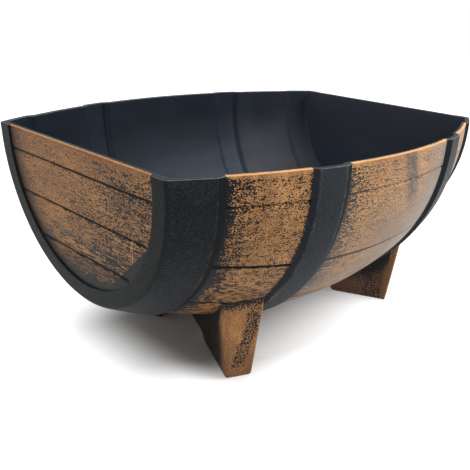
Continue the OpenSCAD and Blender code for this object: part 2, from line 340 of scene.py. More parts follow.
def new_tree(name, kind, inputs, outputs):
    """A node group with its sockets' names given by kind. Returns it, what it is given and its results."""
    tree = bpy.data.node_groups.new(name, kind)
    for way, kinds in (("INPUT", inputs), ("OUTPUT", outputs)):
        for socket_kind, names in kinds.items():
            socket_type = "NodeSocket" + socket_kind
            for socket_name in names:
                tree.interface.new_socket(name=socket_name, in_out=way, socket_type=socket_type)
    given = by_name(tree, add_node(tree, "NodeGroupInput"))
    return tree, given, tree.nodes.new("NodeGroupOutput").inputs


def run_tree(obj, tree, values, name):
    """Runs a tree on an object, its inputs set by identifier, and puts a plain mesh in the object's place."""
    modifier = obj.modifiers.new(tree.name, "NODES")
    modifier.node_group = tree
    for item in tree.interface.items_tree:
        if item.item_type == "SOCKET" and item.in_out == "INPUT" and item.name in values:
            modifier[item.identifier] = values[item.name]
    bpy.context.view_layer.update()
    mesh = bpy.data.meshes.new_from_object(obj.evaluated_get(bpy.context.evaluated_depsgraph_get()))
    bpy.data.objects.remove(obj)
    mesh.name = name
    return add_object(name, mesh)


def new_mesh(name, places, faces=()):
    """A mesh of places and of the faces between them."""
    mesh = bpy.data.meshes.new(name)
    mesh.from_pydata(places, [], faces)
    return mesh


def add_object(name, data):
    """Puts an object with its data into the scene."""
    obj = bpy.data.objects.new(name, data)
    bpy.context.scene.collection.objects.link(obj)
    return obj


def tidy_mesh(mesh, sharp_angle=math.radians(38.0), merge=2e-6):
    """Merges doubles, turns every face outwards and smooths all but the sharp edges."""
    work = bmesh.new()
    work.from_mesh(mesh)
    bmesh.ops.remove_doubles(work, verts=work.verts, dist=merge)
    bmesh.ops.dissolve_degenerate(work, edges=work.edges, dist=merge)
    bmesh.ops.recalc_face_normals(work, faces=work.faces)
    for face in work.faces:
        face.smooth = True
    for edge in work.edges:
        edge.smooth = edge.calc_face_angle(0.0) < sharp_angle
    work.to_mesh(mesh)
    work.free()


def add_piece(obj, slot, *nodes):
    """Attaches a finished piece to the root body and hides the nodes that it stands for. The slot is not
    used.
    """
    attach(obj, "root")
    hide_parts(*nodes)


class Barrel:
    """The rule of the barrel's shape, worked out from the sizes of the shell."""

    def __init__(self, sizes):
        self.sizes = sizes
        self.half = sizes.overall_length / 2
        bulge = sizes.middle_radius - sizes.end_radius
        self.arc_radius = (bulge**2 + self.half**2) / (2 * bulge)
        self.arc_centre = sizes.middle_radius - self.arc_radius
        self.axis_z = sizes.overall_height - sizes.axis_drop
        self.panel_radius = sizes.end_radius + sizes.hoop_rise - sizes.lip_width
        self.hoop_near = sizes.middle_hoop_place - sizes.middle_hoop_width / 2
        self.hoop_far = sizes.middle_hoop_place + sizes.middle_hoop_width / 2
        self.end_hoop = self.half - sizes.end_hoop_width

    def stave(self, x):
        """Radius over the staves at a place along the length."""
        x = min(abs(x), self.half)
        return self.arc_centre + math.sqrt(self.arc_radius**2 - x * x)

    def skin(self, x, rise):
        """Radius of a skin that lies a rise over the staves."""
        x = min(abs(x), self.half)
        return self.arc_centre + math.sqrt((self.arc_radius + rise) ** 2 - x * x)

    def outside(self, x):
        """Outer radius at a place along the length, hoops included."""
        x = min(abs(x), self.half)
        sizes = self.sizes
        rise = sizes.hoop_rise
        for low, high in ((self.hoop_near, self.hoop_far), (self.end_hoop, 2 * self.half)):
            if not low < x < high:
                continue
            up = low + sizes.hoop_bevel
            down = high - sizes.short_bevel
            for foot, ridge in ((low, up), (high, down)):
                share = (x - foot) / (ridge - foot)
                if 0.0 < share < 1.0:
                    return self.stave(foot) + (self.stave(ridge) + rise - self.stave(foot)) * share
            return self.skin(x, rise)
        return self.stave(x)

    def underside(self, x, y):
        """Height of the shell's underside over a place on the floor."""
        return self.axis_z - math.sqrt(max(self.outside(x) ** 2 - y * y, 0.0))

    def curve(self, start, stop, rise, spacing=3.6 * MM):
        """Points along the staves, or a skin beside them, from one place to another."""
        count = max(1, round(abs(stop - start) / spacing))
        places = [start + (stop - start) * k / count for k in range(count + 1)]
        return [(x, self.skin(x, rise)) for x in places]

    def bevel(self, foot, ridge, depth=0.0):
        """Points of a hoop's bevel from its foot to its ridge, or of the channel a depth under it."""
        low = self.stave(foot) - depth
        high = self.skin(ridge, self.sizes.hoop_rise - depth)
        return [(foot + (ridge - foot) * k / 3, low + (high - low) * k / 3) for k in range(4)]


def rounded_line(runs, roundings, steps=4):
    """Joins runs of points into one line and rounds the corners between them.

    Each run starts where the one before it ends. Returns the points and the run that each comes from.
    """
    points = [(p, 0) for p in runs[0]]
    for index, (run, rounding) in enumerate(zip(runs[1:], roundings), start=1):
        corner = np.array(run[0])
        before = corner - np.array(points[-2][0])
        after = np.array(run[1]) - corner
        before /= np.linalg.norm(before)
        after /= np.linalg.norm(after)
        bend = math.acos(max(-1.0, min(1.0, float(before @ after))))
        reach = rounding * math.tan(bend / 2)
        points.pop()
        if rounding == 0:
            points.append((tuple(corner), index))
            points += [(p, index) for p in run[1:]]
            continue
        cleared = reach * 1.15
        while len(points) > 1 and np.linalg.norm(np.array(points[-1][0]) - corner) < cleared:
            points.pop()
        start = corner - before * reach
        stop = corner + after * reach
        for step in range(steps + 1):
            t = step / steps
            p = (1 - t) ** 2 * start + 2 * t * (1 - t) * corner + t**2 * stop
            points.append((tuple(p), index if t >= 0.5 else index - 1))
        points += [(p, index) for p in run[1:] if np.linalg.norm(np.array(p) - corner) > cleared]
    return points


def mirrored_line(points):
    """Adds the other half of a line that starts at mid length."""
    other = [((-p[0], p[1]), run) for p, run in reversed(points[1:])]
    return other + points


def line_normals(points):
    """Outward normals of a line that runs along +X with its material under it."""
    p = np.array(points)
    steps = np.diff(p, axis=0)
    steps /= np.linalg.norm(steps, axis=1)[:, None]
    sides = np.stack([-steps[:, 1], steps[:, 0]], axis=1)
    sharpest = 0.3
    normals = np.zeros_like(p)
    normals[0] = sides[0]
    normals[-1] = sides[-1]
    for k in range(1, len(p) - 1):
        mean = sides[k - 1] + sides[k]
        normals[k] = mean / max(float(mean @ mean) / 2, sharpest)
    return normals


# Faces across an end, the places between them from near to far, and the steps of the rim's rounding
COLUMNS = 44
SPANS = [-1.0 + 2.0 * k / COLUMNS for k in range(1, COLUMNS)]
RIM_STEPS = 4

# A row of corners round the barrel: its turn from the bottom, a shift along the arc that a turn's own
# radius doesn't scale, and its share of the stretch between the highest turn and the rim
Row = namedtuple("Row", ("turn", "shift", "share"), defaults=(0.0, 0.0))


def stave_rows(sizes, gap_rows=13):
    """Rows of the outer skin from the bottom up, close together at the stave joints."""
    shifts = [k * sizes.joint_width / 6 for k in range(1, 4)] + [sizes.joint_width * 0.75]
    joint_zone = math.radians(1.05)
    rows = [Row(0.0)] + [Row(0.0, s) for s in shifts]
    for joint in range(1, 5):
        low = (joint - 1) * sizes.stave_angle + joint_zone
        high = joint * sizes.stave_angle - joint_zone
        rows += [Row(low + (high - low) * k / gap_rows) for k in range(gap_rows + 1)]
        middle = joint * sizes.stave_angle
        rows += [Row(middle, -s) for s in reversed(shifts)] + [Row(middle)] + [Row(middle, s) for s in shifts]
    return rows


def plank_joints(sizes):
    """Depths of the three plank joints under the barrel's axis."""
    return [sizes.top_plank + k * sizes.plank_pitch - sizes.axis_drop for k in range(3)]


def with_plank_rows(rows, barrel):
    """Adds rows on both sides of the plank joints, where no stave joint is near."""
    sizes = barrel.sizes
    joint_zone = math.radians(1.0)
    for under_axis in plank_joints(sizes):
        middle = math.acos(under_axis / barrel.panel_radius)
        step = sizes.joint_width / 4 / (barrel.panel_radius * math.sin(middle))
        crowded = step * 0.45
        for k in range(-3, 4):
            place = middle + k * step
            stave_joint = round(place / sizes.stave_angle) * sizes.stave_angle
            if abs(place - stave_joint) > joint_zone:
                rows = [r for r in rows if r.shift != 0.0 or abs(r.turn - place) > crowded or r.turn == 0.0]
                rows.append(Row(place))
    return sorted(rows, key=lambda row: row.turn + row.shift / barrel.panel_radius)


def groove(off_middle, sizes):
    """Depth of a softened V joint at a distance from its middle."""
    reach = sizes.joint_width * 0.68
    hollowness = 0.8
    inside = max(0.0, 1.0 - abs(off_middle) / reach)
    return sizes.joint_depth * inside**hollowness


class Skin:
    """One side of the wall: its line along the barrel, its rows round it and the joints cut into it."""

    def __init__(self, sizes, line, finishes, rows, end_finish):
        self.sizes = sizes
        self.line = line
        self.finishes = finishes
        self.rows = rows
        self.end_finish = end_finish

    def stave_groove(self, k, row):
        """Depth of a stave joint at a point of the line, in a row."""
        on_staves = 0 < k < len(self.finishes) and self.finishes[k - 1] == self.finishes[k] == STAVES
        if not on_staves or row.share > 0.0:
            return 0.0
        joint = round(row.turn / self.sizes.stave_angle) * self.sizes.stave_angle
        return groove(self.line[k][1] * (row.turn - joint) + row.shift, self.sizes)

    def plank_groove(self, radius, row):
        """Depth of a plank joint where a row crosses an end."""
        if self.end_finish != PLANKS or row.share > 0.0:
            return 0.0
        under_axis = radius * math.cos(row.turn + row.shift / radius)
        return max(groove(under_axis - joint, self.sizes) for joint in plank_joints(self.sizes))

    def set_into_wall(self, offset):
        """The line's points moved into the wall, and those on an end past the end's own edge."""
        outer = self.end_finish == PLANKS
        into = -offset if outer else offset
        normals = line_normals(self.line)
        points = [(x + nx * into, radius + nr * into) for (x, radius), (nx, nr) in zip(self.line, normals)]
        for k in (0, -1):
            x, radius = self.line[k]
            points[k] = (x + math.copysign(1.0, x) * into, radius + offset if outer else radius)
        return points


class ShellSheet:
    """The shell as a flat sheet, before its places are bent into the barrel.

    Each corner has its place along the length, its height over the staves, its turn from the bottom, a shift
    along the arc, its share of the stretch up to the rim, its depth under the rim and its span of the row.
    """

    FIELDS = ("height", "turn", "shift", "share", "depth", "span")

    def __init__(self, barrel, top_turn):
        self.barrel = barrel
        self.top_turn = top_turn
        self.along = []
        self.fields = []
        self.faces = []
        self.finish = []

    def corner(self, point, side, row, depth, span=1.0):
        """Adds a corner in a row on one side of the barrel and returns its index."""
        x, radius = point
        height = radius - self.barrel.stave(x)
        self.along.append(x)
        self.fields.append((height, side * row.turn, side * row.shift, side * row.share, depth, span))
        return len(self.along) - 1

    def spanning(self, point, row, depth):
        """Adds the corners of a row that crosses an end from the near side to the far side."""
        return [self.corner(point, math.copysign(1.0, span), row, depth, abs(span)) for span in SPANS]

    def face(self, corners, finish):
        self.faces.append(corners)
        self.finish.append(finish)

    def grid(self, rows, finishes):
        """Faces between rows of corners, with one finish for each step along them."""
        for lower, upper in zip(rows, rows[1:]):
            for k, finish in enumerate(finishes):
                self.face((lower[k], lower[k + 1], upper[k + 1], upper[k]), finish)

    def loops(self, first, second, finish):
        """Faces between two closed loops of equally many corners."""
        for k in range(len(first)):
            n = (k + 1) % len(first)
            self.face((first[k], first[n], second[n], second[k]), finish)

    def rim_place(self, index):
        """Place of a rim corner seen from above."""
        x = self.along[index]
        height, _, _, share, _, span = self.fields[index]
        radius = self.barrel.stave(x) + height
        half_width = math.sqrt(radius**2 - self.barrel.sizes.axis_drop**2)
        return np.array([x, math.copysign(1.0, share) * half_width * span])

    def zip_loops(self, first, second, finish):
        """Fills between two closed loops that start side by side, always by the shorter diagonal."""
        places = {k: self.rim_place(k) for k in (*first, *second)}
        first = [*first, first[0]]
        second = [*second, second[0]]
        a = 0
        b = 0
        while a < len(first) - 1 or b < len(second) - 1:
            step_a = a < len(first) - 1
            if step_a and b < len(second) - 1:
                along_first = np.linalg.norm(places[first[a + 1]] - places[second[b]])
                along_second = np.linalg.norm(places[first[a]] - places[second[b + 1]])
                step_a = along_first <= along_second
            if step_a:
                self.face((first[a], first[a + 1], second[b]), finish)
                a += 1
            else:
                self.face((first[a], second[b + 1], second[b]), finish)
                b += 1

    def side(self, skin, side, depth, bottom=None):
        """Adds the near or the far half of a skin, from a shared bottom row up, as rows of corners."""
        rows = [] if bottom is None else [bottom]
        for row in skin.rows[len(rows):]:
            corners = []
            for k, (x, radius) in enumerate(skin.line):
                corners.append(self.corner((x, radius - skin.stave_groove(k, row)), side, row, depth))
            rows.append(corners)
        self.grid(rows, skin.finishes)
        return rows

    def end(self, skin, k, near, far, depth):
        """Fills a D shaped end between the near and far halves of its ring. Returns its top row's middle."""
        x, radius = skin.line[k]
        lower = None
        for row, first, last in zip(skin.rows[1:], near[1:], far[1:]):
            place = (x - math.copysign(skin.plank_groove(radius, row), x), radius)
            middle = self.spanning(place, row, depth)
            upper = [first[k], *middle, last[k]]
            if lower is None:
                for a, b in zip(upper, upper[1:]):
                    self.face((near[0][k], a, b), skin.end_finish)
            else:
                self.grid([lower, upper], [skin.end_finish] * COLUMNS)
            lower = upper
        return middle

    def add_skin(self, skin):
        """Adds a skin with its two ends. Returns the closed loop of its corners at the rim."""
        depth = self.barrel.sizes.rim_rounding
        near = self.side(skin, -1.0, depth)
        far = self.side(skin, 1.0, depth, bottom=near[0])
        left, right = (self.end(skin, k, near, far, depth) for k in (0, -1))
        return [*near[-1], *right, *reversed(far[-1]), *reversed(left)]

    def rim_loop(self, skin, offset, depth):
        """Adds a loop of corners on the rounding of the rim, set into the wall by an offset."""
        points = skin.set_into_wall(offset)
        top = Row(self.top_turn, 0.0, 1.0)
        near, far = ([self.corner(p, side, top, depth) for p in points] for side in (-1.0, 1.0))
        right, left = (self.spanning(points[k], top, depth) for k in (-1, 0))
        return [*near, *right, *reversed(far), *reversed(left)]

    def add_rounding(self, skin, loop):
        """Rounds the rim over a skin, from its loop of corners to the top. Returns the top loop."""
        rounding = self.barrel.sizes.rim_rounding
        for step in range(1, RIM_STEPS + 1):
            lean = math.radians(90.0 * step / RIM_STEPS)
            upper = self.rim_loop(skin, rounding * (1.0 - math.cos(lean)), rounding * (1.0 - math.sin(lean)))
            self.loops(loop, upper, RIM)
            loop = upper
        return loop

    def mesh(self, name):
        """The flat sheet as a mesh with its fields as attributes."""
        flat_radius = 0.2
        unrolled = [(x, row[1] * flat_radius, -row[0]) for x, row in zip(self.along, self.fields)]
        mesh = new_mesh(name, unrolled, self.faces)
        columns = np.array(self.fields, dtype=np.float32).T
        for field, column in zip(self.FIELDS, columns):
            values = np.ascontiguousarray(column)
            mesh.attributes.new(field, "FLOAT", "POINT").data.foreach_set("value", values)
        mesh.attributes.new("finish", "INT", "FACE").data.foreach_set("value", self.finish)
        work = bmesh.new()
        work.from_mesh(mesh)
        bmesh.ops.recalc_face_normals(work, faces=work.faces)
        work.faces.ensure_lookup_table()
        if work.faces[self.finish.index(STAVES)].normal.z > 0.0:
            bmesh.ops.reverse_faces(work, faces=work.faces)
        work.to_mesh(mesh)
        work.free()
        return mesh


def outer_line(barrel):
    """Outer profile of the shell from the left end panel to the right one, with its finishes."""
    s = barrel.sizes
    end = barrel.half
    rise = s.hoop_rise
    up = barrel.hoop_near + s.hoop_bevel
    down = barrel.hoop_far - s.short_bevel
    end_up = barrel.end_hoop + s.hoop_bevel
    lip_top = barrel.skin(end, rise)
    lip_low = barrel.panel_radius
    runs = [
        barrel.curve(0.0, barrel.hoop_near, 0.0),
        barrel.bevel(barrel.hoop_near, up),
        barrel.curve(up, down, rise),
        barrel.bevel(barrel.hoop_far, down)[::-1],
        barrel.curve(barrel.hoop_far, barrel.end_hoop, 0.0),
        barrel.bevel(barrel.end_hoop, end_up),
        barrel.curve(end_up, end, rise),
        [(end, lip_top + (lip_low - lip_top) * k / 5) for k in range(6)],
        [(end, lip_low), (end - s.panel_recess / 2, lip_low), (end - s.panel_recess, lip_low)],
    ]
    soft = s.edge_rounding
    roundings = [soft * 0.5, soft, soft, soft * 0.5, soft * 0.5, soft, s.end_rounding, s.rim_rounding]
    points = mirrored_line(rounded_line(runs, roundings))
    finish = [STAVES if run in (0, 4) else HOOPS for _, run in points]
    middle = len(points) // 2
    line = [p for p, _ in points]
    steps = [finish[k] if k >= middle else finish[k + 1] for k in range(len(points) - 1)]
    return line, steps


def inner_line(barrel):
    """Inner profile of the shell, with a channel behind each hoop that is a little narrower than it."""
    s = barrel.sizes
    narrowing = 0.42
    inset = s.wall * narrowing
    near = barrel.hoop_near + inset
    far = barrel.hoop_far - inset
    last = barrel.end_hoop + inset
    end = barrel.half - s.panel_recess - s.wall
    low = -s.wall
    high = s.hoop_rise - s.wall
    up = near + s.hoop_bevel
    down = far - s.short_bevel
    end_up = last + s.hoop_bevel
    corner = barrel.skin(end, high)
    end_step = 2.5 * MM
    runs = [
        barrel.curve(0.0, near, low),
        barrel.bevel(near, up, s.wall),
        barrel.curve(up, down, high),
        barrel.bevel(far, down, s.wall)[::-1],
        barrel.curve(far, last, low),
        barrel.bevel(last, end_up, s.wall),
        barrel.curve(end_up, end, high),
        [(end, corner - k * end_step) for k in range(3)],
    ]
    for before, after in zip(runs, runs[1:]):
        after[0] = before[-1]
    soft = 0.9 * MM
    end_rounding = 3.0 * MM
    points = mirrored_line(rounded_line(runs, [soft] * 6 + [end_rounding], steps=3))
    return [p for p, _ in points]


def build_sheet(barrel, top_turn):
    """The whole shell as one closed sheet: outer skin, end panels, inside, end walls and rim."""
    sizes = barrel.sizes
    sheet = ShellSheet(barrel, top_turn)
    stretch = [Row(top_turn, 0.0, share) for share in (0.34, 0.67, 1.0)]
    inner_pitch = math.radians(3.6)
    outer, finishes = outer_line(barrel)
    inner = inner_line(barrel)
    outer_rows = with_plank_rows(stave_rows(sizes), barrel) + stretch
    inner_rows = [Row(inner_pitch * k) for k in range(25)] + stretch
    tops = []
    for skin in (
        Skin(sizes, outer, finishes, outer_rows, PLANKS),
        Skin(sizes, inner, [INSIDE] * (len(inner) - 1), inner_rows, INSIDE),
    ):
        loop = sheet.add_rounding(skin, sheet.add_skin(skin))
        middle = len(skin.line) // 2
        tops.append(loop[middle:] + loop[:middle])
    sheet.zip_loops(*tops, RIM)
    return sheet


def boolean(tree, operation, tools, base=None):
    """Joins shapes, or cuts them out of a base."""
    node = tree.nodes.new("GeometryNodeMeshBoolean")
    node.operation = operation
    node.solver = "MANIFOLD"
    if base is not None:
        feed(tree, base, node.inputs["Mesh 1"])
    for tool in tools:
        feed(tree, tool, node.inputs["Mesh 2"])
    return node.outputs["Mesh"]


def joined(tree, *shapes):
    """One shape made of several that run into each other."""
    return boolean(tree, "UNION", shapes)


def cut(tree, base, *tools):
    """A shape with others cut out of it."""
    return boolean(tree, "DIFFERENCE", tools, base)


def barrel_tree(materials):
    """Geometry nodes that bend the flat sheet into the barrel, ripple it, drill it and set its materials."""
    sizes = ["Length", "Middle radius", "End radius", "Rim height", "Axis drop", "Top turn", "Ripple"]
    diameters = ["Drain diameter", "Pad diameter", "Bore diameter"]
    tree, given, result = new_tree(
        "bend_into_barrel",
        "GeometryNodeTree",
        {"Geometry": ["Geometry"], "Float": sizes + diameters, "Object": ["Drain places", "Screw places"]},
        {"Geometry": ["Geometry"]},
    )

    def field(name, kind="FLOAT"):
        """One of the sheet's fields."""
        found = add_node(tree, "GeometryNodeInputNamedAttribute", {"Name": name}, data_type=kind)
        return Number(tree, found["Attribute"])

    along = split(tree, add_node(tree, "GeometryNodeInputPosition")[0])[0]
    half = given["Length"] / 2.0
    middle = given["Middle radius"]
    bulge = middle - given["End radius"]
    arc_radius = (bulge * bulge + half * half) / (bulge * 2.0)
    short = abs(along).at_most(half)
    stave = middle - arc_radius + (arc_radius * arc_radius - short * short).root()
    radius = stave + field("height")
    drop = given["Axis drop"]
    rim_turn = ((drop - field("depth")) / radius).math("ARCSINE") + math.pi / 2
    turned = field("turn") + field("shift") / radius + field("share") * (rim_turn - given["Top turn"])
    across = field("span") * radius * turned.math("SINE")
    up = given["Rim height"] - drop - radius * turned.math("COSINE")
    bent = {"Geometry": given["Geometry"], "Position": vector(tree, along, across, up)}
    bent = add_node(tree, "GeometryNodeSetPosition", bent)[0]

    # Hand worked ripple, always into the wall, and none near the rim's edges
    place = add_node(tree, "GeometryNodeInputPosition")[0]
    ripples_per_metre = (16.0, 46.0, 46.0)
    values = {0: place, 1: ripples_per_metre}
    stretched = add_node(tree, "ShaderNodeVectorMath", values, operation="MULTIPLY")[0]
    rim = given["Rim height"]
    calm = split(tree, place)[2].fall(rim - 0.006, rim - 0.002)
    depth = noise(tree, stretched) * calm * given["Ripple"]
    values = {"Vector": add_node(tree, "GeometryNodeInputNormal")[0], "Scale": -depth}
    inwards = add_node(tree, "ShaderNodeVectorMath", values, operation="SCALE")[0]
    shape = add_node(tree, "GeometryNodeSetPosition", {"Geometry": bent, "Offset": inwards})[0]

    def rods(places, diameter, height, lift=0.0):
        """Upright rods at each place, with their middle a lift over it."""
        values = {"Vertices": 48, "Radius": given[diameter] / 2.0, "Depth": height}
        rod = add_node(tree, "GeometryNodeMeshCylinder", values)["Mesh"]
        rod = add_node(tree, "GeometryNodeTransform", {"Geometry": rod, "Translation": (0.0, 0.0, lift)})[0]
        points = add_node(tree, "GeometryNodeObjectInfo", {"Object": given[places]})["Geometry"]
        stood = add_node(tree, "GeometryNodeInstanceOnPoints", {"Points": points, "Instance": rod})[0]
        return add_node(tree, "GeometryNodeRealizeInstances", {"Geometry": stood})[0]

    pad_height = 0.012
    bore_height = 0.080
    drain_height = 0.120
    pads = rods("Screw places", "Pad diameter", pad_height, -pad_height / 2)
    shape = joined(tree, shape, pads)
    shape = cut(tree, shape, rods("Screw places", "Bore diameter", bore_height))
    shape = cut(tree, shape, rods("Drain places", "Drain diameter", drain_height))
    shape = add_node(tree, "GeometryNodeRealizeInstances", {"Geometry": shape})[0]
    shape = add_node(tree, "GeometryNodeSetMaterial", {"Geometry": shape, "Material": materials[INSIDE]})[0]
    for index in (STAVES, PLANKS, HOOPS, RIM):
        values = {2: field("finish", "INT"), 3: index}
        same = add_node(tree, "FunctionNodeCompare", values, data_type="INT", operation="EQUAL")[0]
        values = {"Geometry": shape, "Selection": same, "Material": materials[index]}
        shape = add_node(tree, "GeometryNodeSetMaterial", values)[0]
    feed(tree, shape, result["Geometry"])
    return tree


def foot_point(feet, inward):
    """Place on a foot's centre line at a distance in from its toe."""
    return (
        feet.toe_x - inward * math.sin(feet.splay),
        feet.toe_y - inward * math.cos(feet.splay),
    )


def head_seat(barrel, feet, screws, inward):
    """Height of the flat seat under a screw head."""
    x, y = foot_point(feet, inward)
    edge = screws.pad / 2
    under = barrel.axis_z - math.sqrt(barrel.stave(x + edge) ** 2 - (y + edge) ** 2)
    upright_wall = 1.2 * barrel.sizes.wall
    return under + upright_wall + screws.pad_rise


def screw_seats(scene):
    """Places of the eight seats."""
    barrel = Barrel(scene.planter_shell)
    feet = scene.planter_feet
    seats = []
    for sx, sy in CORNERS.values():
        for inward in (feet.outer_screw, feet.outer_screw + feet.screw_pitch):
            x, y = foot_point(feet, inward)
            seats.append((sx * x, sy * y, head_seat(barrel, feet, scene.planter_screws, inward)))
    return seats


def points_object(name, places):
    """An object with a vertex at each place."""
    return add_object(name, new_mesh(name, places))


class PLANTER_OT_shell(bpy.types.Operator):
    """Make the moulded barrel shell with its hoops, stave joints, end planks and drain holes"""

    bl_idname = "planter.shell"
    bl_label = "Make shell"

    def execute(self, context):
        scene = context.scene
        sizes = scene.planter_shell
        screws = scene.planter_screws
        top_turn = math.radians(88.0)
        sheet = build_sheet(Barrel(sizes), top_turn)
        bottom = 0.03
        drains = [(sx * sizes.drain_x, sy * sizes.drain_y, bottom) for sx, sy in CORNERS.values()]
        drain_places = points_object("drain_places", drains)
        seat_places = points_object("seat_places", screw_seats(scene))
        materials = {
            INSIDE: inner_resin_material(scene),
            STAVES: stave_paint_material(scene),
            PLANKS: plank_paint_material(scene),
            HOOPS: hoop_resin_material(scene),
            RIM: rim_material(scene),
        }
        values = {
            "Length": sizes.overall_length,
            "Middle radius": sizes.middle_radius,
            "End radius": sizes.end_radius,
            "Rim height": sizes.overall_height,
            "Axis drop": sizes.axis_drop,
            "Top turn": top_turn,
            "Ripple": sizes.ripple,
            "Drain diameter": sizes.drain_diameter,
            "Pad diameter": screws.pad,
            "Bore diameter": screws.shank + 2 * screws.clearance,
            "Drain places": drain_places,
            "Screw places": seat_places,
        }
        flat = add_object("shell_sheet", sheet.mesh("shell_sheet"))
        shell = run_tree(flat, barrel_tree(materials), values, "moulded_shell")
        bpy.data.objects.remove(drain_places)
        bpy.data.objects.remove(seat_places)
        tidy_mesh(shell.data)
        add_piece(shell, "charcoal_resin", "trough_shell")
        return {"FINISHED"}


def barrel_place(name):
    """Where a point lies on the barrel: along, around, under the rim and from hoops, ridges and joints."""
    hoops = ["Hoop near edge", "Hoop far edge", "End hoop edge", "Bevel", "Short bevel"]
    distances = ["From near edge", "From far edge", "From end hoop", "From ridge", "From joint"]
    tree, given, result = new_tree(
        name,
        "ShaderNodeTree",
        {"Float": ["Axis height", "Rim height", "Stave angle", *hoops]},
        {"Vector": ["Grain place"], "Float": ["Along", "Turn", "Under rim", "On bevel", "Joint", *distances]},
    )
    x, y, z = split(tree, add_node(tree, "ShaderNodeTexCoord")["Object"])
    down = given["Axis height"] - z
    turned = y.math("ARCTAN2", down)
    radius = distance(y, down)
    along = abs(x)
    bevel = given["Bevel"]
    from_near = along - given["Hoop near edge"]
    from_far = along - given["Hoop far edge"]
    from_end = along - given["End hoop edge"]
    from_ridge = abs(from_near - bevel).at_most(abs(from_end - bevel))
    from_ridge = from_ridge.at_most(abs(from_far + given["Short bevel"]))
    soft = 0.0004
    on_bevel = from_near.between(0.0, bevel, soft).at_least(from_end.between(0.0, bevel, soft))
    angle = given["Stave angle"]
    joints = abs(turned) / angle
    nearest = joints.math("ROUND")
    mean_radius = 0.225
    found = {
        "Grain place": vector(tree, x, turned * mean_radius, radius),
        "Along": along,
        "Turn": abs(turned),
        "Under rim": given["Rim height"] - z,
        "From near edge": abs(from_near),
        "From far edge": abs(from_far),
        "From end hoop": abs(from_end),
        "From ridge": from_ridge,
        "On bevel": on_bevel,
        "From joint": abs(joints - nearest) * angle * radius,
        "Joint": nearest,
    }
    for output, value in found.items():
        feed(tree, value, result[output])
    return tree


def brushed_paint(name):
    """Paint brushed over moulded grain: specks and streaks of resin show where the brush missed."""
    tree, given, result = new_tree(
        name,
        "ShaderNodeTree",
        {
            "Vector": ["Grain place"],
            "Float": ["Cover", "Streaks", "Clumps", "Tone", "Speck scale"],
            "Color": ["Paint", "Warm", "Dull", "Resin"],
        },
        {"Color": ["Color"], "Float": ["Painted", "Roughness", "Height"]},
    )
    x, around, deep = split(tree, given["Grain place"])
    scale = given["Speck scale"]
    streaks = given["Streaks"]

    def grain(along_share, around_share, detail=1.0, deep_share=0.3):
        """Noise about zero, finer along or around the surface with a larger share."""
        deep_place = deep * scale * deep_share
        place = vector(tree, x * scale * along_share, around * scale * around_share, deep_place)
        return noise(tree, place, 1.0, detail) - 0.5

    dots = grain(0.85, 1.05)
    dashes = grain(0.13, 0.95)
    fine = grain(1.9, 2.2, 0.0)
    clumps = grain(0.20, 0.30)
    patches = grain(0.035, 0.060, 2.0)
    drift = grain(0.012, 0.020, 2.0)

    # How far the brush reached: above zero there is paint, and just above it a bright band where the paint is
    # thicker, partly a painted highlight
    specks = (dots * (1.0 - streaks) + dashes * streaks) * 1.9 + fine * 0.50
    reach = specks + patches * 0.2 + clumps * given["Clumps"] + given["Cover"]
    painted = reach.ramp(0.00, 0.03)
    brim_highlight = reach.ramp(0.02, 0.05) * reach.fall(0.09, 0.18)
    tone = (patches + drift) * 0.7 + dashes * (streaks * 1.2 + 0.3) + fine * 1.2 + given["Tone"]
    paint = blend(tree, tone.ramp(-0.24, 0.02), given["Dull"], given["Paint"])
    paint = blend(tree, tone.ramp(0.02, 0.28), paint, given["Warm"])
    paint = blend(tree, brim_highlight, paint, given["Warm"])
    feed(tree, blend(tree, painted, given["Resin"], paint), result["Color"])
    feed(tree, painted, result["Painted"])
    feed(tree, painted * 0.10 + 0.42 + fine * 0.3, result["Roughness"])
    feed(tree, reach.ramp(-0.15, 0.15) + dashes * 0.6, result["Height"])
    return tree


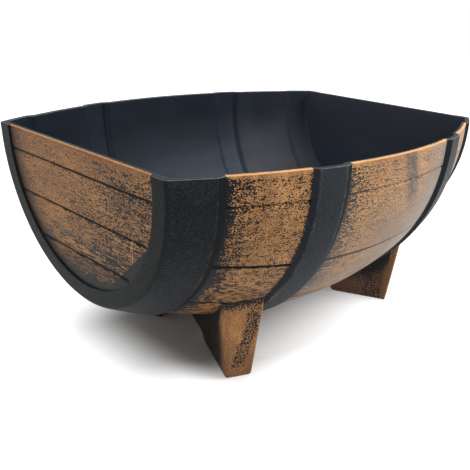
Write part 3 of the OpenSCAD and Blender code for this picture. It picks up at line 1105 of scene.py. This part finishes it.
class Surface:
    """A material being made, with its shader and the place of each point of the piece."""

    def __init__(self, name, specular=0.12):
        self.material = bpy.data.materials.new(name)
        self.material.use_nodes = True
        self.tree = self.material.node_tree
        self.inputs = next(n for n in self.tree.nodes if n.type == "BSDF_PRINCIPLED").inputs
        self.set("Specular IOR Level", specular)
        self.place = add_node(self.tree, "ShaderNodeTexCoord")["Object"]
        self.x, self.y, self.z = split(self.tree, self.place)

    def set(self, name, value):
        """Feeds one of the shader's inputs."""
        feed(self.tree, value, self.inputs[name])

    def noise(self, scale, detail=2.0):
        return noise(self.tree, self.place, scale, detail)

    def blend(self, share, first, second):
        return blend(self.tree, share, first, second)

    def group(self, make, **values):
        """Places a shader group, made on its first use, with its own values, and returns its outputs."""
        group = bpy.data.node_groups.get(make.__name__) or make(make.__name__)
        inputs = {name.replace("_", " "): value for name, value in values.items()}
        return by_name(self.tree, add_node(self.tree, "ShaderNodeGroup", inputs, node_tree=group))

    def on_barrel(self, barrel):
        """Where the points lie on the barrel."""
        return self.group(
            barrel_place,
            Axis_height=barrel.axis_z,
            Rim_height=barrel.sizes.overall_height,
            Stave_angle=barrel.sizes.stave_angle,
            Hoop_near_edge=barrel.hoop_near,
            Hoop_far_edge=barrel.hoop_far,
            End_hoop_edge=barrel.end_hoop,
            Bevel=barrel.sizes.hoop_bevel,
            Short_bevel=barrel.sizes.short_bevel,
        )

    def from_axis(self, barrel):
        """Distance of each point from the barrel's axis."""
        return distance(self.y, barrel.axis_z - self.z)

    def under_staves(self, barrel):
        """Depth of each point inside the surface that the staves lie in."""
        stave = (barrel.arc_radius**2 - self.x * self.x).root() + barrel.arc_centre
        return stave - self.from_axis(barrel)

    def bump(self, height, step, strength):
        """Feeds a height, in steps of a length, through a bump to the shader's normal."""
        values = {"Strength": strength, "Distance": step, "Height": height}
        self.set("Normal", add_node(self.tree, "ShaderNodeBump", values)[0])

    def painted(self, colour, paint):
        """Finishes the material with a colour and with the brushed paint's own roughness and relief."""
        self.set("Base Color", colour)
        self.set("Roughness", paint["Roughness"])
        self.bump(paint["Height"], 0.0003, 0.6)
        return self.material


def paint_colours(finishes):
    """The brushed paint's colours as its shader group names them."""
    return {
        "Paint": finishes.paint,
        "Warm": finishes.paint_warm,
        "Dull": finishes.paint_dull,
        "Resin": finishes.resin,
    }


def stave_paint_material(scene):
    """Staves: paint with specks beside the hoops and long streaks low on the belly."""
    surface = Surface("stave_paint")
    finishes = scene.planter_finishes
    barrel = Barrel(scene.planter_shell)
    x = surface.x
    place = surface.on_barrel(barrel)
    under_rim = place["Under rim"]
    low = place["Turn"].fall(math.radians(46), math.radians(74))
    middle_bay = (barrel.sizes.middle_hoop_place - place["Along"]).ramp(-0.005, 0.005)
    near_side = surface.y.fall(-0.001, 0.001)

    # Bare resin beside the hoops and in the joints, the uppermost of which is nearly painted over
    uppermost = place["Joint"].ramp(3.4, 3.6)
    in_joint = place["From joint"].fall(0.0011, 0.0024, 0.7) * (1.0 - uppermost * 0.85)
    from_end_hoop = place["From end hoop"]
    from_near_edge = place["From near edge"]
    by_end_hoop = from_end_hoop.fall(0.0, 0.009, 0.32) + from_end_hoop.fall(0.004, 0.040, 0.21)
    by_far_edge = place["From far edge"].fall(0.0, 0.004, 0.34)
    by_near_edge = from_near_edge.fall(0.0, 0.008, 0.22)
    by_near_edge = by_near_edge + from_near_edge.fall(0.003, 0.050, 0.16) * middle_bay
    bare = in_joint + by_end_hoop + by_far_edge + by_near_edge + low * 0.05
    full_at_rim = under_rim.fall(0.002, 0.007, 0.30)
    grain_x, grain_y, grain_z = split(surface.tree, place["Grain place"])
    paint = surface.group(
        brushed_paint,
        Grain_place=vector(surface.tree, grain_x * (1.0 - middle_bay * 0.45), grain_y, grain_z),
        Cover=middle_bay * 0.035 + 0.085 + full_at_rim - bare,
        Streaks=low * 0.65 + middle_bay * 0.12 + 0.08,
        Clumps=0.58 - middle_bay * 0.34,
        Tone=middle_bay * 0.04 - low * 0.14,
        Speck_scale=650.0,
        **paint_colours(finishes),
    )

    # Painted sheen: a reflection blended in, strongest low down and toward the right of the middle bay, and
    # across the near right bay; and a grey smear at mid length
    uneven = noise(surface.tree, place["Grain place"], 120.0, 3.0)
    painted_sheen = under_rim.ramp(0.010, 0.110, 0.24, 0.62) * (uneven * 0.8 + 0.6) * x.ramp(-0.100, 0.030, 0.45, 1.0)
    painted_sheen = (painted_sheen + near_side * x.ramp(0.020, 0.100, 0.0, 0.45)) * middle_bay
    far_bay_sheen = near_side * x.ramp(0.150, 0.158, 0.0, 0.40)
    smear = abs(x - under_rim * 0.45).fall(0.004, 0.022) * under_rim.fall(0.045, 0.085) * near_side
    shown = surface.blend(painted_sheen + far_bay_sheen, paint["Color"], finishes.pale_paint)
    shown = surface.blend(smear * uneven.ramp(0.25, 0.55, 0.0, 0.85), shown, finishes.rubbed_paint)
    return surface.painted(shown, paint)


def plank_paint_material(scene):
    """End planks: fine specks on the near half, a soft fade on the far side that is partly painted shade, and
    bare resin at the foot.
    """
    surface = Surface("plank_paint")
    finishes = scene.planter_finishes
    sizes = scene.planter_shell
    barrel = Barrel(sizes)
    under_rim = sizes.overall_height - surface.z
    planks = (under_rim - sizes.top_plank) / sizes.plank_pitch
    from_joint = abs(planks - planks.math("ROUND").at_least(0.0)) * sizes.plank_pitch
    from_lip = barrel.panel_radius - surface.from_axis(barrel)
    toward_near = -surface.y
    near_half = toward_near.ramp(-0.080, 0.085)

    # Bare resin in dense specks, in the joints, at the foot and below a slanted edge
    slant = math.radians(42.8)
    slant_depth = 0.1442
    below_slant = toward_near * math.sin(slant) + under_rim * math.cos(slant) - slant_depth
    bare = (
        near_half * (toward_near * 0.4 + under_rim).ramp(0.000, 0.085, 0.0, 0.175)
        + below_slant.ramp(-0.002, 0.002, 0.0, 0.6) * under_rim.ramp(0.070, 0.076)
        + from_joint.fall(0.0005, 0.0014, 0.6)
        + under_rim.ramp(0.070, 0.120, 0.0, 0.06)
        + under_rim.ramp(0.138, 0.158, 0.0, 0.35)
    )

    # Full paint at the rim, along the lip's near side and in one short upright line; along the lip it is also
    # lightened, wear and a painted highlight on the edge
    full_at_rim = under_rim.fall(0.002, 0.008, 0.30)
    along_lip = from_lip.fall(0.0006, 0.0030) * toward_near.ramp(0.090, 0.110) * under_rim.ramp(0.028, 0.045)
    upright_place = 0.100
    upright = abs(toward_near - upright_place).fall(0.0004, 0.0012) * under_rim.between(0.074, 0.106, 0.004)
    foot = under_rim.ramp(0.070, 0.125)
    paint = surface.group(
        brushed_paint,
        Grain_place=vector(surface.tree, surface.y * 0.55, surface.z, surface.x * 0.1),
        Cover=full_at_rim + along_lip * 0.14 + upright * 0.5 + 0.125 - bare,
        Streaks=foot * 0.30 + 0.30,
        Clumps=0.10,
        Tone=upright * 0.4 + along_lip * 0.35 - foot * 0.18 - toward_near.fall(-0.150, 0.010, 0.12) - 0.14,
        Speck_scale=840.0,
        **paint_colours(finishes),
    )
    # A soft fade toward the resin beside the lip on the far side, partly painted shade, and a darkening lower
    # down toward the foot
    fade = from_lip.fall(0.0, 0.045)
    lip_fade_and_shade = (1.0 - near_half) * fade * (fade * 0.6 + 0.4) * under_rim.ramp(0.0, 0.050, 0.7125, 0.95)
    shade = lip_fade_and_shade.at_least(under_rim.ramp(0.116, 0.134, 0.0, 0.45))
    return surface.painted(surface.blend(shade, paint["Color"], finishes.resin), paint)


def hoop_resin_material(scene):
    """Hoops and end lips: charcoal resin with a fine hammered grain, wear and a painted highlight along the
    ridges, painted shade on the bevels and painted light on the lips and middle hoops.
    """
    surface = Surface("hoop_resin", specular=0.10)
    finishes = scene.planter_finishes
    barrel = Barrel(scene.planter_shell)
    place = surface.on_barrel(barrel)
    along = place["Along"]

    # Hammered grain, whose raised spots are lighter, and painted light that makes the middle hoops lighter
    # still
    pits_per_metre = 620.0
    values = {"Vector": surface.place, "Scale": pits_per_metre, "Smoothness": 0.7}
    pits = add_node(surface.tree, "ShaderNodeTexVoronoi", values, feature="SMOOTH_F1")["Distance"]
    pits = Number(surface.tree, pits)
    fine = surface.noise(pits_per_metre * 2.3)
    tone = surface.noise(30.0, 3.0) * 0.35 + fine * 0.25 + pits * 0.5
    middle_hoop_light = along.fall(0.180, 0.200, 0.12)
    shown = surface.blend((tone + middle_hoop_light).ramp(0.46, 0.70), finishes.resin, finishes.hoop_fleck)
    # Painted light: the end lips, which face away from the key lamp, are blended toward a lighter resin
    lip = along.ramp(barrel.half - 0.0045, barrel.half - 0.0005)
    shown = surface.blend(lip * (tone * 0.5 + 0.6), shown, finishes.lip_resin)

    # Wear and a painted highlight along the ridges, most on the middle hoops, and touches of paint low down
    # on the middle hoops' outer ridge
    ragged = surface.noise(90.0, 3.0)
    ridge = place["From ridge"].fall(0.0004, 0.0016) * ragged.ramp(0.35, 0.60)
    worn = ridge * (surface.noise(14.0).ramp(0.40, 0.62, 0.15, 0.75) + middle_hoop_light * 3.0)
    shown = surface.blend(worn, shown, finishes.worn)
    low = place["Turn"].fall(math.radians(36), math.radians(60))
    outer_ridge = abs(place["From far edge"] - barrel.sizes.short_bevel)
    touched = outer_ridge.fall(0.0008, 0.0026, 0.8) * low * ragged.ramp(0.42, 0.50)
    shown = surface.blend(touched, shown, finishes.paint)
    # Painted shade: the bevels, away from their ridges, are darkened toward black
    bevel_shade = place["On bevel"] * (1.0 - ridge)
    surface.set("Base Color", surface.blend(bevel_shade * 0.70, shown, BLACK))
    surface.set("Roughness", tone * 0.15 + 0.44 + bevel_shade * 0.20)
    surface.bump((pits * 1.2 + fine * 0.6) * (1.0 - place["On bevel"] * 0.75), 0.0008, 0.9)
    return surface.material


def inner_resin_material(scene):
    """Inside: satin resin, a little bluer, with faint flow marks, painted sheen and light, lighter patches
    toward the right end and a painted shade line at a channel's edge.
    """
    surface = Surface("inner_resin")
    finishes = scene.planter_finishes
    barrel = Barrel(scene.planter_shell)
    x, z = surface.x, surface.z
    along = abs(x)
    flow = noise(surface.tree, vector(surface.tree, x * 9.0, surface.y * 40.0, z * 40.0), 1.0, 3.0)
    cloud = surface.noise(14.0, 3.0)
    channel = along.between(barrel.hoop_near + 0.006, barrel.hoop_far - 0.002, 0.002)
    channel = channel + along.ramp(barrel.end_hoop + 0.006, barrel.end_hoop + 0.008)
    end_wall = along.ramp(barrel.half - 0.016, barrel.half - 0.010)

    # Painted sheen and light: the satin is palest deep down, in the channels, on the end walls and just under
    # the rim
    deep = z.fall(0.120, 0.256) * x.ramp(-0.120, 0.060, 0.20, 1.0)
    satin = (flow * 0.5 + cloud * 0.5).ramp(0.30, 0.70) * (deep * 0.90 + 0.12) + deep * 0.38
    satin = satin + channel * (deep * 0.25 + 0.10) + end_wall * 0.40 + z.ramp(0.250, 0.272, 0.0, 0.14)
    shown = surface.blend(satin, finishes.inner_resin, finishes.inner_bloom)
    # Lighter cloudy patches toward the right end, and painted light on the end walls
    lighter_inside_share = x.ramp(0.120, 0.180) * cloud.ramp(0.25, 0.75, 0.45, 1.0) * z.fall(0.150, 0.270, 0.62, 0.12)
    lighter_inside_share = lighter_inside_share * (1.0 - end_wall) + end_wall * z.ramp(0.150, 0.260, 0.10, 0.32)
    shown = surface.blend(lighter_inside_share, shown, finishes.chalk)
    # Painted shade: a dark line along the left channel's edge
    line_place = 0.117
    channel_edge_shade = abs(along - line_place).fall(0.0008, 0.0030, 0.5) * x.fall(-0.01, 0.01)
    surface.set("Base Color", surface.blend(channel_edge_shade, shown, BLACK))
    surface.set("Roughness", cloud * 0.24 + 0.34)
    surface.bump(flow * 0.6 + surface.noise(260.0) * 0.15, 0.0004, 0.6)
    return surface.material


def rim_material(scene):
    """Rim: paint over the outer half of the near staves and left planks, brighter as painted light on its
    top, with wear and a painted highlight at its edges.
    """
    surface = Surface("rim_edge")
    finishes = scene.planter_finishes
    barrel = Barrel(scene.planter_shell)
    sizes = barrel.sizes
    place = surface.on_barrel(barrel)
    along = place["Along"]
    soft = 0.0012
    painted_depth = sizes.wall * 0.5
    bays = along.fall(barrel.hoop_near - soft, barrel.hoop_near)
    bays = bays + along.between(barrel.hoop_far, barrel.end_hoop, soft)
    staves = bays * surface.under_staves(barrel).fall(painted_depth - soft, painted_depth + soft)
    staves = staves * surface.y.fall(-0.010, 0.010)
    panel_face = barrel.half - sizes.panel_recess
    panel_back = panel_face - sizes.wall
    panel = abs(surface.y).fall(barrel.panel_radius - 0.004, barrel.panel_radius - 0.001)
    panel = panel * (panel_face - along).fall(painted_depth * 0.4, painted_depth * 0.8)
    panel = panel * along.ramp(panel_back - soft, panel_back) * surface.x.fall(-0.010, 0.010)

    # The rim's edges are where its rounding leans about halfway; there the resin has wear and a painted
    # highlight, and the paint a painted highlight
    upward = split(surface.tree, add_node(surface.tree, "ShaderNodeNewGeometry")["Normal"])[2]
    edge = upward.ramp(0.30, 0.60) * upward.fall(0.78, 0.94)
    worn = edge * surface.noise(110.0, 3.0).ramp(0.25, 0.60, 0.3, 0.9)
    # Brighter paint on the rim is painted light; Tone lifts it further at the edges as a painted highlight
    paint = surface.group(
        brushed_paint,
        Grain_place=place["Grain place"],
        Cover=(staves + panel).at_most(1.0) * 0.9 - 0.5,
        Streaks=0.3,
        Clumps=0.3,
        Tone=edge * 0.50 + 0.08 - panel * 0.50,
        Speck_scale=720.0,
        Paint=finishes.paint_warm,
        Warm=finishes.rim_paint,
        Dull=finishes.paint,
        Resin=surface.blend(worn, finishes.resin, finishes.rim_worn),
    )
    surface.set("Base Color", paint["Color"])
    surface.set("Roughness", 0.50 - edge * 0.10)
    surface.bump(paint["Height"], 0.0002, 0.4)
    return surface.material


def foot_paint_material(scene):
    """Feet: painted outer face with a speck band, mostly bare side toward the end, bare under the shell."""
    surface = Surface("foot_paint")
    finishes = scene.planter_finishes
    feet = scene.planter_feet
    z = surface.z
    below = -surface.under_staves(Barrel(scene.planter_shell))
    from_toe_x = feet.toe_x - abs(surface.x)
    from_toe_y = feet.toe_y - abs(surface.y)
    inward = from_toe_x * math.sin(feet.splay) + from_toe_y * math.cos(feet.splay)
    across = from_toe_y * math.sin(feet.splay) - from_toe_x * math.cos(feet.splay)
    toe_face = inward.fall(0.0006, 0.0030)
    end_side = across.ramp(0.008, 0.016) * (1.0 - toe_face)
    middle_side = across.fall(-0.016, -0.008) * (1.0 - toe_face)
    right_foot = surface.x.ramp(0.0, 0.1)
    band_middle = z.ramp(0.012, 0.095, 0.002, -0.014)
    band = abs(across - band_middle).fall(0.006, 0.015, 0.50) * z.ramp(0.008, 0.018)
    middle_bare = inward.ramp(0.002, 0.012, 0.15, 0.44) * inward.fall(0.045, 0.075, 1.0, 0.5)
    middle_bare = middle_bare + below.fall(0.010, 0.045, 0.50)
    middle_bare = middle_bare - right_foot * inward.ramp(0.030, 0.045, 0.0, 0.16)
    bare = below.fall(0.000, 0.016, 0.75).at_least(band * toe_face)
    bare = bare + end_side * inward.ramp(0.002, 0.016, 0.20, 0.75) + middle_side * middle_bare
    darker_right = right_foot * (toe_face + 1.0) * 0.14
    paint = surface.group(
        brushed_paint,
        Grain_place=vector(surface.tree, z, inward + across * 0.9, across * 0.4),
        Cover=0.42 - bare,
        Streaks=0.05,
        Clumps=0.3,
        Tone=z.ramp(0.004, 0.060, -0.30, -0.02) - middle_side * 0.15 - darker_right,
        Speck_scale=720.0,
        **paint_colours(finishes),
    )
    shaded = middle_side * inward.ramp(0.002, 0.010, 0.25, 0.75) * paint["Painted"]
    reddish = end_side * inward.fall(0.002, 0.026, 0.70) * below.ramp(0.010, 0.030)
    shown = surface.blend(shaded, paint["Color"], finishes.foot_shade)
    return surface.painted(surface.blend(reddish, shown, finishes.foot_end_shade), paint)


def steel_material(scene):
    """Screws: plated steel with faint turning marks."""
    surface = Surface("plated_steel", specular=0.5)
    finishes = scene.planter_finishes
    marks = surface.noise(900.0)
    surface.set("Base Color", surface.blend(marks.ramp(0.3, 0.7), finishes.steel_shade, finishes.steel))
    surface.set("Metallic", 1.0)
    surface.set("Roughness", marks * 0.25 + 0.25)
    surface.bump(marks, 0.0001, 0.5)
    return surface.material


# A point round a foot: the two corners that it lies between, its share of the way, and its outward normal
OutlinePoint = namedtuple("OutlinePoint", ("first", "second", "share", "nx", "ny"))


def foot_outline(corner_steps=5, side_steps=30, end_steps=8):
    """Points round a foot with rounded corners. A corner is its side and whether it is at the inner end."""
    corners = ((1, 0), (1, 1), (-1, 1), (-1, 0))
    points = []
    for index, corner in enumerate(corners):
        start = 90.0 * index - 90.0
        for step in range(corner_steps + 1):
            lean = math.radians(start + 90.0 * step / corner_steps)
            points.append(OutlinePoint(corner, corner, 0.0, math.cos(lean), math.sin(lean)))
        following = corners[(index + 1) % 4]
        steps = end_steps if index % 2 else side_steps
        lean = math.radians(start + 90.0)
        for step in range(1, steps):
            points.append(OutlinePoint(corner, following, step / steps, math.cos(lean), math.sin(lean)))
    return points


class FootShape:
    """The rule of a foot's shape: a drafted block with rounded edges, flared at its inner end."""

    def __init__(self, feet, barrel, sx, sy):
        self.feet = feet
        self.barrel = barrel
        self.sx = sx
        self.sy = sy

    def outline_place(self, point, height, inset, rounding):
        """Place of an outline point at a height, drawn in by an inset, as across and inward from the toe."""
        feet = self.feet
        half = feet.width / 2 + height * math.tan(feet.draft) - inset
        toe = -height * math.tan(feet.toe_lean) + inset
        heel = feet.length + height * math.tan(feet.draft) - inset
        ends = []
        for side, at_heel in (point.first, point.second):
            across = side * (half - rounding) + point.nx * rounding
            inward = (heel - rounding if at_heel else toe + rounding) + point.ny * rounding
            ends.append((across, inward))
        across, inward = (a + (b - a) * point.share for a, b in zip(*ends))
        most_flare = feet.heel_flare * 1.2
        flare = min(feet.heel_flare * (height / feet.flare_height) ** 2, most_flare)
        inner_half = max(0.0, min(1.0, 2.0 * inward / feet.length - 1.0)) ** 2
        return across * (1.0 + flare * inner_half / half), inward + flare * inner_half

    def place(self, point, height, inset, rounding):
        """Place of an outline point in the object's frame."""
        feet = self.feet
        across, inward = self.outline_place(point, height, inset, rounding)
        x = feet.toe_x - inward * math.sin(feet.splay) + across * math.cos(feet.splay)
        y = feet.toe_y - inward * math.cos(feet.splay) - across * math.sin(feet.splay)
        return (self.sx * x, self.sy * y, height)

    def lower_rounding(self, point):
        """Radius of the edge between the sole and a wall."""
        end = self.feet.toe_rounding if point.ny < 0 else self.feet.heel_rounding
        return self.feet.side_rounding * point.nx * point.nx + end * point.ny * point.ny

    def sole_edge(self, point, lean):
        """Place on the rounding between the sole and a wall, at an angle from the sole."""
        radius = self.lower_rounding(point)
        inset = radius * (1.0 - math.sin(lean))
        height = radius * (1.0 - math.cos(lean))
        return self.place(point, height, inset, max(self.feet.corner_rounding, inset * 0.8))

    def top(self, point, inset, start=0.06, rounds=14):
        """Height at which a wall meets the shell, found by closing in on it from a starting height."""
        height = start
        for _ in range(rounds):
            x, y, _ = self.place(point, height, inset, self.feet.corner_rounding)
            height = self.barrel.underside(x, y) - self.feet.seat_gap
        return height


def build_foot(scene, name, sx, sy):
    """One hollow foot: rounded sole, drafted walls, top trimmed to the shell, open inside."""
    feet = scene.planter_feet
    shape = FootShape(feet, Barrel(scene.planter_shell), sx, sy)
    points = foot_outline()

    def wall_rings(inset, lows, levels, rounding):
        """Rings of places up a wall, from its lowest line to the shell."""
        tops = [shape.top(point, inset) for point in points]
        rings = []
        for level in range(levels + 1):
            heights = [low + (top - low) * level / levels for low, top in zip(lows, tops)]
            rings.append([shape.place(p, height, inset, rounding) for p, height in zip(points, heights)])
        return rings

    outer_levels = 22
    inner_levels = 8
    leans = (0.0, 22.0, 45.0, 68.0)
    rings = [[shape.sole_edge(point, math.radians(lean)) for point in points] for lean in leans]
    rings += wall_rings(0.0, [shape.lower_rounding(p) for p in points], outer_levels, feet.corner_rounding)
    inner = len(rings)
    rings += wall_rings(feet.wall, [feet.wall] * len(points), inner_levels, feet.corner_rounding * 0.5)
    top_pair = (inner - 1, len(rings) - 1)
    pairs = [*ring_pairs(0, inner), top_pair, *ring_pairs(inner, len(rings))]
    places = [place for ring in rings for place in ring]
    mesh = new_mesh(name, places, ring_faces(pairs, (0, inner), len(points)))
    tidy_mesh(mesh)
    return add_object(name, mesh)


def ring_pairs(first, end):
    """Each ring from the first one on, with the ring after it."""
    return [(ring, ring + 1) for ring in range(first, end - 1)]


def ring_faces(pairs, closed, corners):
    """Faces between pairs of rings of equally many corners, and across the closed rings."""
    faces = []
    for lower, upper in pairs:
        for k in range(corners):
            n = (k + 1) % corners
            faces.append((lower * corners + k, lower * corners + n, upper * corners + n, upper * corners + k))
    for ring in closed:
        faces.append(tuple(range(ring * corners, (ring + 1) * corners)))
    return faces


def screw_mesh(screws, corners=40):
    """A pan head screw with its seat at the origin, turned from its profile of radius and height.

    The crown's middle is a ring of no size, whose corners are merged.
    """
    head = screws.head / 2
    rise = screws.head_height
    shank = screws.shank / 2
    end = -screws.screw_length
    point_radius = 0.0004
    point_length = 0.005
    crown = ((0.45, 0.97), (0.72, 0.86), (0.90, 0.62), (0.985, 0.34), (1.0, 0.12), (0.985, 0.0))
    profile = [(0.0, rise)] + [(head * across, rise * up) for across, up in crown]
    profile += [(shank, 0.0), (shank, point_length + end), (point_radius, end)]
    turns = [math.tau * k / corners for k in range(corners)]
    places = [(radius * math.cos(t), radius * math.sin(t), z) for radius, z in profile for t in turns]
    rings = len(profile)
    mesh = new_mesh("screw", places, ring_faces(ring_pairs(0, rings), (0, rings - 1), corners))
    tidy_mesh(mesh)
    return mesh


def screw_tree(material):
    """Geometry nodes that cut a cross recess in a screw and stand it in every seat, each turned by chance."""
    tree, given, result = new_tree(
        "screws_in_seats",
        "GeometryNodeTree",
        {
            "Geometry": ["Geometry"],
            "Object": ["Screw"],
            "Float": ["Recess span", "Recess width", "Recess depth", "Head height"],
            "Int": ["Seed"],
        },
        {"Geometry": ["Geometry"]},
    )
    span = given["Recess span"]
    width = given["Recess width"]
    blade_height = given["Recess depth"] * 2.0
    screw = add_node(tree, "GeometryNodeObjectInfo", {"Object": given["Screw"]})["Geometry"]
    blades = []
    for size in ((span, width, blade_height), (width, span, blade_height)):
        blade = add_node(tree, "GeometryNodeMeshCube", {"Size": vector(tree, *size)})["Mesh"]
        values = {"Geometry": blade, "Translation": vector(tree, 0.0, 0.0, given["Head height"])}
        blades.append(add_node(tree, "GeometryNodeTransform", values)[0])
    values = {2: 0.0, 3: math.tau, "Seed": given["Seed"]}
    spin = add_node(tree, "FunctionNodeRandomValue", values, data_type="FLOAT")[1]
    values = {
        "Points": given["Geometry"],
        "Instance": cut(tree, screw, *blades),
        "Rotation": vector(tree, 0.0, 0.0, spin),
    }
    shape = add_node(tree, "GeometryNodeInstanceOnPoints", values)[0]
    shape = add_node(tree, "GeometryNodeRealizeInstances", {"Geometry": shape})[0]
    values = {"Geometry": shape, "Material": material}
    feed(tree, add_node(tree, "GeometryNodeSetMaterial", values)[0], result["Geometry"])
    return tree


class PLANTER_OT_feet(bpy.types.Operator):
    """Make the four hollow splayed feet, trimmed to the shell over them"""

    bl_idname = "planter.feet"
    bl_label = "Make feet"

    def execute(self, context):
        material = foot_paint_material(context.scene)
        for corner, (sx, sy) in CORNERS.items():
            foot = build_foot(context.scene, "foot_block_" + corner, sx, sy)
            foot.data.materials.append(material)
            add_piece(foot, "brushed_wood_paint", "foot_" + corner)
        return {"FINISHED"}


class PLANTER_OT_screws(bpy.types.Operator):
    """Stand the eight pan head screws in their seats"""

    bl_idname = "planter.screws"
    bl_label = "Make screws"

    def execute(self, context):
        scene = context.scene
        screws = scene.planter_screws
        seats = points_object("seats", screw_seats(scene))
        screw = add_object("screw", screw_mesh(screws))
        values = {
            "Screw": screw,
            "Recess span": screws.recess,
            "Recess width": screws.recess_width,
            "Recess depth": screws.recess_depth,
            "Head height": screws.head_height,
            "Seed": screws.seed,
        }
        piece = run_tree(seats, screw_tree(steel_material(scene)), values, "seat_screws")
        bpy.data.objects.remove(screw)
        tidy_mesh(piece.data)
        names = [f"screw_{corner}_{place}" for corner in CORNERS for place in ("outer", "inner")]
        add_piece(piece, "screw_steel", *names)
        return {"FINISHED"}


def seen_directly(tree):
    """1 where the camera, a reflection or a view through glass sees the surface."""
    rays = by_name(tree, add_node(tree, "ShaderNodeLightPath"))
    return rays["Is Camera Ray"].at_least(rays["Is Glossy Ray"]).at_least(rays["Is Transmission Ray"])


def floor_material():
    """White floor that keeps the shadow and runs into plain white away from the object, with painted light
    under the near side.
    """
    surface = Surface("white_floor", specular=0.1)
    x = surface.x
    y = surface.y

    # The full shadow reaches so far from the middle, less far under the left end on the near side
    reach_along = 0.185
    reach_across = 0.078
    near_reach = x.ramp(-0.235, -0.175, 0.020, 0.0765)
    beside_x = (abs(x) - reach_along).at_least(0.0)
    beside_y = (abs(y) - y.ramp(-0.030, 0.030, near_reach, reach_across)).at_least(0.0)
    outside = distance(beside_x, beside_y).ramp(0.0, 0.135)

    # Painted light: the floor's glow also lifts the shadow under the near side, more and more toward the
    # right end
    under = (-y - 0.012) * (x * 9.5 + 4.3) * x.ramp(-0.165, -0.110)
    white = outside.at_least(under).at_most(1.0)
    surface.set("Base Color", (0.60, 0.60, 0.60))
    surface.set("Roughness", 0.8)
    surface.set("Emission Color", WHITE)
    surface.set("Emission Strength", seen_directly(surface.tree) * white)
    return surface.material


def white_world(scene, strength):
    """Even light all round, and plain white wherever the camera or a reflection sees it."""
    world = bpy.data.worlds.new("studio")
    scene.world = world
    world.use_nodes = True
    tree = world.node_tree
    background = next(n for n in tree.nodes if n.type == "BACKGROUND")
    feed(tree, WHITE, background.inputs["Color"])
    feed(tree, seen_directly(tree) * (1.0 - strength) + strength, background.inputs["Strength"])


def add_lamp(name, place, size, power):
    """A large soft square lamp aimed at the body."""
    data = bpy.data.lights.new(name, "AREA")
    data.size = size
    data.energy = power
    lamp = add_object(name, data)
    body = Vector((0.0, 0.0, 0.10))
    lamp.location = place
    lamp.rotation_euler = (Vector(place) - body).to_track_quat("Z", "Y").to_euler()


def add_camera(scene, stage):
    """The camera at the photograph's viewing angle."""
    data = bpy.data.cameras.new("camera")
    data.sensor_width = 36.0
    data.lens = data.sensor_width * stage.focal_share
    data.shift_x = stage.shift_x
    data.shift_y = stage.shift_y
    heading = Matrix.Rotation(-stage.heading, 4, "Z")
    tilt = Matrix.Rotation(math.pi / 2 - stage.tilt, 4, "X")
    roll = Matrix.Rotation(stage.roll, 4, "Z")
    place = Matrix.Translation((stage.camera_x, stage.camera_y, stage.camera_z))
    scene.camera = add_object("camera", data)
    scene.camera.matrix_world = place @ heading @ tilt @ roll


def add_floor(reach=6.0):
    """The level floor under the feet, reaching equally far each way."""
    corners = [(reach * sx, reach * sy, 0.0) for sx, sy in ((-1, -1), (1, -1), (1, 1), (-1, 1))]
    mesh = new_mesh("floor", corners, [(0, 1, 2, 3)])
    mesh.materials.append(floor_material())
    add_object("floor", mesh)


class PLANTER_OT_stage(bpy.types.Operator):
    """Set up the camera, the lamps, the floor and the white surroundings"""

    bl_idname = "planter.stage"
    bl_label = "Make stage"

    def execute(self, context):
        scene = context.scene
        stage = scene.planter_stage
        scene.view_settings.view_transform = "Standard"
        add_camera(scene, stage)
        white_world(scene, stage.sky)
        add_floor()
        add_lamp("key", place=(0.90, -1.15, 1.40), size=1.2, power=stage.key_power)
        add_lamp("top", place=(-0.90, 0.30, 1.70), size=1.4, power=stage.top_power)
        return {"FINISHED"}


class PLANTER_PT_panel(bpy.types.Panel):
    """Panel with the sizes and the buttons that make the planter"""

    bl_label = "Planter"
    bl_idname = "PLANTER_PT_panel"
    bl_space_type = "VIEW_3D"
    bl_region_type = "UI"
    bl_category = "Planter"

    def draw(self, context):
        layout = self.layout
        for operator in OPERATORS:
            layout.operator(operator.bl_idname)
        for group_name, group in GROUPS.items():
            box = layout.box()
            box.label(text=group.__doc__)
            for prop in group.__annotations__:
                box.prop(getattr(context.scene, group_name), prop)


OPERATORS = (PLANTER_OT_shell, PLANTER_OT_feet, PLANTER_OT_screws, PLANTER_OT_stage)


def register():
    for group_name, group in GROUPS.items():
        bpy.utils.register_class(group)
        setattr(bpy.types.Scene, group_name, bpy.props.PointerProperty(type=group))
    for cls in (*OPERATORS, PLANTER_PT_panel):
        bpy.utils.register_class(cls)


def unregister():
    for cls in reversed((*OPERATORS, PLANTER_PT_panel)):
        bpy.utils.unregister_class(cls)
    for group_name, group in reversed(GROUPS.items()):
        delattr(bpy.types.Scene, group_name)
        bpy.utils.unregister_class(group)


def main():
    register()
    bpy.ops.planter.shell()
    bpy.ops.planter.feet()
    bpy.ops.planter.screws()
    bpy.ops.planter.stage()


if __name__ == "__main__":
    main()
